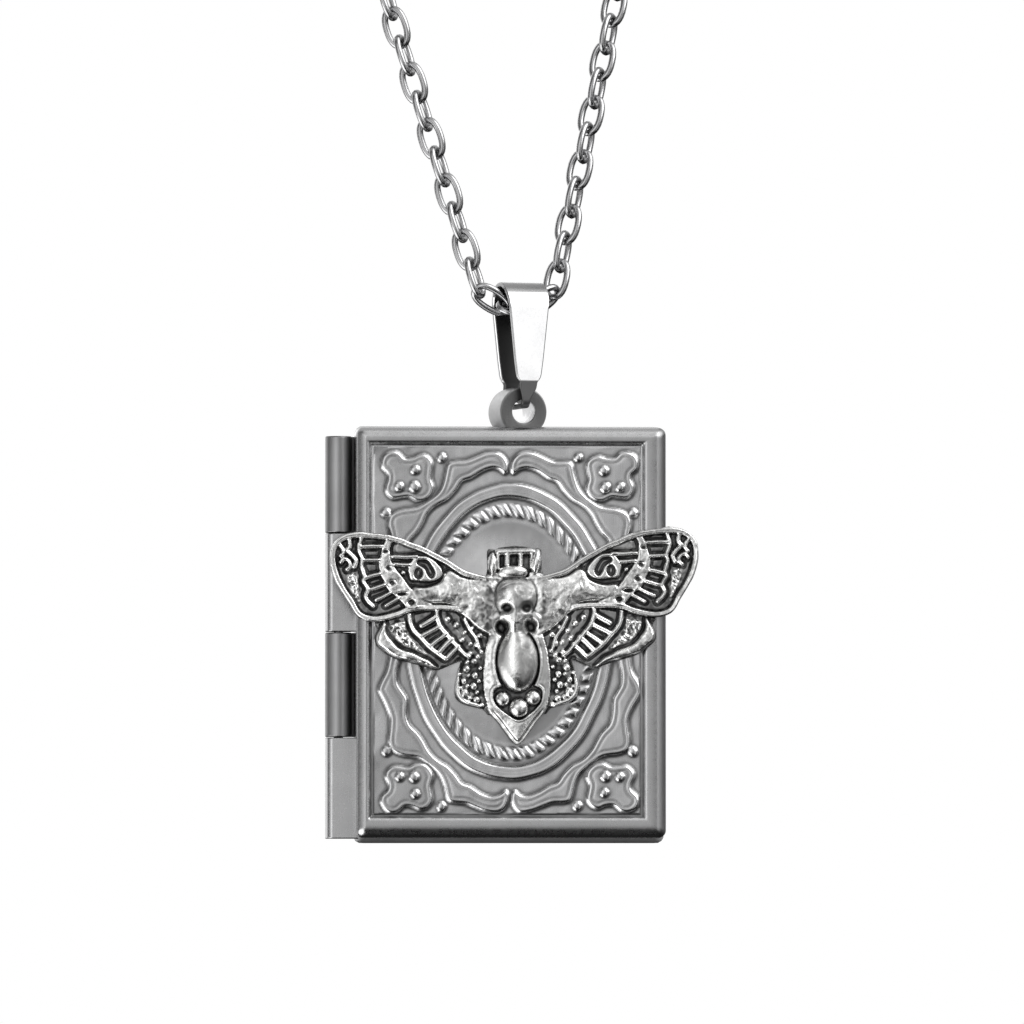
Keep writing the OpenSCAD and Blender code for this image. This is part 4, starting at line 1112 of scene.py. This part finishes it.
def moth_darkness():
    """How black the casting is, 0 to 1.

    Floors, creases and sockets are black. Dark mottling lies over the wings, least on the right,
    and a painted shadow beside the body. The smooth body has painted shade away from a painted
    highlight down its middle, painted highlights on the brow and right of the nose, painted shade
    over the crown and on the leaf's right side, and no black is quite even.
    """
    low = 1 - ramp(height, 0.55, 0.88)
    crease = np.clip((blurred(height, 2) - height) / 0.045, 0, 1)
    low = np.maximum(low, 0.92 * crease * (whole > 0.15))

    # Dark mottling over the wings, more round the wing roots, less on the inner right wing and the outer left
    dark_mottle = ramp(0.8 * pebbles + 0.6 * streaks + 0.3 * fine, -0.7, 1.9)
    root_rim = rooty * (1 - ramp(depths["root"], 0.2, 0.9))
    mottle_amount = 0.45 + 0.3 * root_rim - 0.45 * ramp(X, 0.5, 2) * (1 - ramp(X, 8, 10)) - 0.28 * ramp(-X, 4.5, 6)
    # Painted shadow beside the body, where the wing roots meet the skull
    shade_beside_body = spot(2.35, 2.3, np.where(X > 0, 0.38, 0.55), 2.0, np.abs(X))
    body = ramp(np.maximum(skull, abdomen), 0.8, 1.2) * (np.abs(X) < 2.2) * (Z < 4.6)
    body = body * ramp(height, 0.7, 1.0)
    low = low + (1 - body) * (mottle_amount * dark_mottle + 0.7 * shade_beside_body * (1 + 0.4 * pebbles))

    # Painted highlight down the body's middle, painted shade on its sides and over the crown, and painted
    # highlights on the brow and right of the nose
    off_painted_highlight = 1 - line_mark(X + 0.08 * Z, -0.5, 0.42)
    shaded = 0.42 + 0.14 * ramp(X, -0.1, 0.8) - 0.2 * ramp(X, 0.9, 1.6)
    shaded = shaded + 0.26 * spot(0.85, -1.1, 0.4, 1.1)
    low = low + shaded * body * off_painted_highlight * (1 + 0.12 * streaks)
    low = low + body * (0.25 * ramp(Z, 3.1, 3.7) - 0.5 * spot(-0.6, 2.85, 0.45, 0.5))
    low = low - body * dent(0.65, 1.05, 0.6, 0.5, 0.4)
    low = np.where(body > 0.5, np.minimum(low, 0.86), low)

    under_eye = spot(7.7, 3.5, 0.9, 0.5, np.abs(X))
    low = low + np.where(X > 0, 0.25, 0.4) * under_eye * (1 + 0.4 * pebbles)
    for socket in SOCKETS:
        low = np.maximum(low + dent(*socket, 0.7, 0.56, 0.4), dent(*socket, 0.46, 0.37, 1.1))
    # Painted shade on the leaf's right side, and its tip a little lighter
    low = low + 0.32 * ramp(X, 0.9, 1.9) * ramp(depths["leaf"], 0, 0.2) * (Z < -0.3) * (1 - body)
    low = low - 0.3 * ramp(-Z, 7.2, 7.7) * ramp(depths["leaf"], 0.32, 0.42)
    mottled = 0.84 + 0.06 * np.clip(streaks, -1, 1) + 0.04 * np.clip(pebbles, -1, 1)
    return np.clip(low, 0, np.minimum(mottled + 0.14 * ramp(crease, 0.3, 1), 1))


MOTH_TILT, MOTH_RIGHT, MOTH_Y, WALL_DARK = np.radians(1), 0.3, -3.06, 0.6
moth_points = moth_points @ turn_matrix(0, 2, MOTH_TILT).T
moth_place = locket_centre + [MOTH_RIGHT, MOTH_Y, 0]
moth_low = np.concatenate([moth_darkness().ravel()[top_used], np.full(len(rim_used), WALL_DARK)])
add_piece(
    "cast_moth", moth_points + moth_place, moth_faces, antique_silver, "cover", "moth",
    moth_low, sharp=80,
)

# BAIL
# A strip of polished steel folded into a loop: wide where the chain runs through it,
# narrow below, its two ends folded in through the lug's hole.

bail_steel = metal(
    "polished_bail_steel", (0.86, 0.86, 0.865),
    roughness=0.08, extra_roughness=0.06, bump=0.1, wear_size=1.5, dark=0.05,
)
BAIL_FOOT, BAIL_H, STRIP_T = 18.94, 10.7, 0.4
HALF_TOP, HALF_LOW, LOW_CORNER, TAIL_H, LEAN_RIGHT = 2.4, 2.3, 0.7, 2.25, 0.25
FOOT_SHADE, TOP_SHADE = 0.88, 0.6
# Height over the foot, half width of the strip there
strip_widths = [
    [-1, 0.35], [0.75, 0.36], [1.6, 0.7], [2.2, 0.74], [2.3, 0.84], [2.42, 0.94], [2.6, 1.05], [2.9, 1.12],
    [4.1, 1.28], [10.1, 1.9], [12, 1.9],
]
# Painted shade at each point round the section, from corner to corner, the outer face's two corners first:
# the edges darker and the inner face black
section_shade = np.array([0.7, 0.5, 0.2, 0, 0, 0.2, 0.5, 0.4, 0.2, 0, 0, 1, 1, 0, 0, 0.4])


def bail_path(inset):
    """The strip's middle line seen from the side, front to back and up.

    It is a half circle over the top, a straight line down the front, a round corner, the flat
    foot, and the same again up the back.
    """
    top_z, foot_z = BAIL_FOOT + BAIL_H - HALF_TOP, BAIL_FOOT + inset
    r_top, half_low, r_low = HALF_TOP - inset, HALF_LOW - inset, LOW_CORNER - inset
    over = np.radians(np.linspace(0, 180, 33))
    lower = np.radians(np.linspace(180, 270, 13))
    arc = np.stack([r_top * np.cos(over), top_z + r_top * np.sin(over)], axis=1)
    left_x, left_z = -half_low + r_low + r_low * np.cos(lower), foot_z + r_low + r_low * np.sin(lower)
    left = np.stack([left_x, left_z], axis=1)
    down = np.linspace(arc[-1], left[0], 60)[1:-1]
    foot = np.linspace(left[-1], left[-1] * [-1, 1], 8)[1:-1]
    right = (left * [-1, 1])[::-1]
    return np.concatenate([arc, down, left, foot, right, (down * [-1, 1])[::-1]])


def strip_section():
    """Corners of the strip's section, four points to each.

    A row gives the side, the depth off the middle line, and how far past them the corner's arc
    goes. The outer corners are small, the inner ones wider.
    """
    arc = np.radians([0, 30, 60, 90])
    section = []
    for side, face in ((1, 1), (-1, 1), (-1, -1), (1, -1)):
        wide, deep = (0.1, 0.1) if face > 0 else (0.22, 0.14)
        depth = face * (STRIP_T / 2 - deep)
        corner = [(side, depth, side * wide * (np.cos(a) - 1), face * deep * np.sin(a)) for a in arc]
        section += corner if side * face > 0 else corner[::-1]
    return section


def side_normals(path):
    """Unit normals on the right of a closed path, square to the line between each point's neighbours."""
    along = np.roll(path, -1, 0) - np.roll(path, 1, 0)
    along /= np.linalg.norm(along, axis=1, keepdims=True)
    return np.stack([along[:, 1], -along[:, 0]], axis=1)


def bail_shape():
    """The strip's section swept round its closed middle line, as wide as the strip is at each height."""
    path = bail_path(STRIP_T / 2)
    normal = side_normals(path)
    over_foot, half_widths = np.array(strip_widths).T
    half = np.interp(path[:, 1], BAIL_FOOT + over_foot, half_widths)
    points = []
    for side, depth, more_side, more_depth in strip_section():
        y, z = (path + (depth + more_depth) * normal).T
        points.append(np.stack([side * half + more_side, y, z], axis=1))
    points = np.stack(points, axis=1)
    rings, around = points.shape[:2]
    up_path = path[:, 1:]
    # Painted shadow on the foot in the lug's hole, and painted shade over the top fold
    dark = np.maximum(section_shade[None, :], FOOT_SHADE * (up_path < BAIL_FOOT + TAIL_H))
    top = BAIL_FOOT + BAIL_H
    dark = np.maximum(dark, TOP_SHADE * ramp(up_path, top - 0.95, top - 0.75))
    points[..., 0] += LEAN_RIGHT * ramp(up_path, BAIL_FOOT + 0.4, BAIL_FOOT + 2.2)
    return points.reshape(-1, 3), [closed_sweep(rings, around)], dark.ravel()


bail_points, bail_faces, bail_shade = bail_shape()
bail_points = bail_points @ lug_turned.T + lug_place
add_piece(
    "folded_bail", bail_points, bail_faces, bail_steel, "bail", "bail", bail_shade, sharp=12
)

# CHAIN
# Oval links of polished round wire, each turned a quarter against the next. The two
# strands rise from the bail and close in a curve at the nape, with a ring and eye.

chain_steel = metal(
    "polished_chain_steel", (0.44, 0.44, 0.445), roughness=0.2, extra_roughness=0.1, bump=0.15, wear_size=1.5
)
PITCH, LINK_W, WIRE, PLAY = 2.48, 2.3, 0.5, 0.24
DRAWN_WIRE_R, WIRE_SIDES, LINK_POINTS, FULLNESS = 0.29, 10, 28, 0.84
STRAND_LINKS, NECK_LINKS = 59, 29
STRAND_LEAN, FIRST_LINK_TILT, LOOP_LEAN = 15.3, 32, np.radians(9)
links_side = 1 + STRAND_LINKS + NECK_LINKS
strand_tilt = 90 - STRAND_LEAN
neck_step = (90 + STRAND_LEAN) / NECK_LINKS

numbers = np.arange(links_side + 1)
tilts = np.where(
    numbers <= 1 + STRAND_LINKS, strand_tilt, strand_tilt + (numbers - 1.5 - STRAND_LINKS) * neck_step
)
tilts = np.where(numbers < 2, numbers * FIRST_LINK_TILT, tilts)
directions = np.radians(tilts)
steps = PITCH * np.stack([np.cos(directions[1:]), np.sin(directions[1:])], axis=1)
joints = np.concatenate([[[PITCH / 2, 0]], [PITCH / 2, 0] + np.cumsum(steps, axis=0)])
middles = np.concatenate([[[0, 0]], (joints[:-1] + joints[1:]) / 2])

swing_joint = next(j for j in frame["joints"] if j["name"] == "bail_swing")
loop_place = 1000 * np.array(swing_joint["pos_m"])
loop_leaned = lug_turned @ turn_matrix(1, 2, -LOOP_LEAN)


def tube(path, radius, sides):
    """Round wire along a closed flat path in the XY plane: a circle carried square to the path."""
    a = np.linspace(0, 2 * np.pi, sides, endpoint=False)
    flat = path[:, None, :] + radius * np.cos(a)[None, :, None] * side_normals(path)[:, None, :]
    out_of_plane = np.broadcast_to(radius * np.sin(a)[None, :, None], (*flat.shape[:2], 1))
    points = np.concatenate([flat, out_of_plane], axis=2)
    return points.reshape(-1, 3), closed_sweep(len(path), sides)


def link_path():
    """A full oval: a circle stretched to the link's size, with its sine and cosine raised to a power."""
    a = np.linspace(0, 2 * np.pi, LINK_POINTS, endpoint=False)
    x = np.sign(np.cos(a)) * np.abs(np.cos(a)) ** FULLNESS * (PITCH + PLAY + WIRE) / 2
    return np.stack([x, np.sign(np.sin(a)) * np.abs(np.sin(a)) ** FULLNESS * (LINK_W - WIRE) / 2], axis=1)


def strand(which, mirror):
    """Copies of one link, each rolled about its length, tilted in the loop's plane and set at its middle."""
    link_points, link_faces = tube(link_path(), DRAWN_WIRE_R, WIRE_SIDES)
    rolled = turn_matrix(1, 2, np.radians(45 + 90 * (which % 2)))
    turned = turn_matrix(0, 2, directions[which]) @ rolled
    centres = np.stack([middles[which, 0], np.zeros(len(which)), middles[which, 1]], axis=1)
    points = np.einsum("kij,nj->kni", turned, link_points) + centres[:, None, :]
    points = points.reshape(-1, 3) * [mirror, 1, 1]
    faces = (link_faces[None] + len(link_points) * np.arange(len(which))[:, None, None]).reshape(-1, 4)
    return points @ loop_leaned.T + loop_place, [faces]


for name, node, which, mirror in (
    ("right_strand", "chain_right", numbers, 1), ("left_strand", "chain_left", numbers[1:], -1),
):
    strand_points, strand_faces = strand(which, mirror)
    add_piece(name, strand_points, strand_faces, chain_steel, "chain", node)

# CLASP
# A plain ring and a small eye joined by a short collar, at the nape, out of the
# picture. All three are of the chain's polished steel.

RING_R, RING_TUBE, EYE_R, CLASP_PLAY = 3.0, 0.45, 0.9, 0.15
COLLAR_R, COLLAR_END_R, RING_OVERLAP, EYE_OVERLAP = 0.36, 0.3, 0.2, 0.15
CLASP_SIDES, EYE_SIDES, RING_POINTS, EYE_POINTS, CLASP_ROLL = 16, 12, 64, 36, np.radians(-45)
nape = joints[-1]
link_end = nape[0] - PLAY / 2
ring_x = RING_R - RING_TUBE - CLASP_PLAY - link_end
eye_x = link_end + CLASP_PLAY + WIRE / 2 - EYE_R
ring_points, ring_faces = tube(circle(RING_R, RING_POINTS), RING_TUBE, CLASP_SIDES)
eye_points, eye_faces = tube(circle(EYE_R, EYE_POINTS), WIRE / 2, EYE_SIDES)
collar = np.array([ring_x + RING_R - RING_OVERLAP, eye_x - EYE_R + EYE_OVERLAP])
collar_levels = [(collar[0], COLLAR_END_R), (collar.mean(), COLLAR_R), (collar[1], COLLAR_END_R)]
collar_points, collar_faces = stacked_rings(collar_levels, CLASP_SIDES)
clasp_points, clasp_faces = merged([
    (ring_points + [ring_x, 0, 0], [ring_faces]),
    (eye_points + [eye_x, 0, 0], [eye_faces]),
    (collar_points[:, [2, 0, 1]], collar_faces),
])
clasp_points = clasp_points @ turn_matrix(1, 2, CLASP_ROLL).T + [0, 0, nape[1]]
clasp_points = clasp_points @ loop_leaned.T + loop_place
add_piece("ring_clasp", clasp_points, clasp_faces, chain_steel, "chain", "clasp")
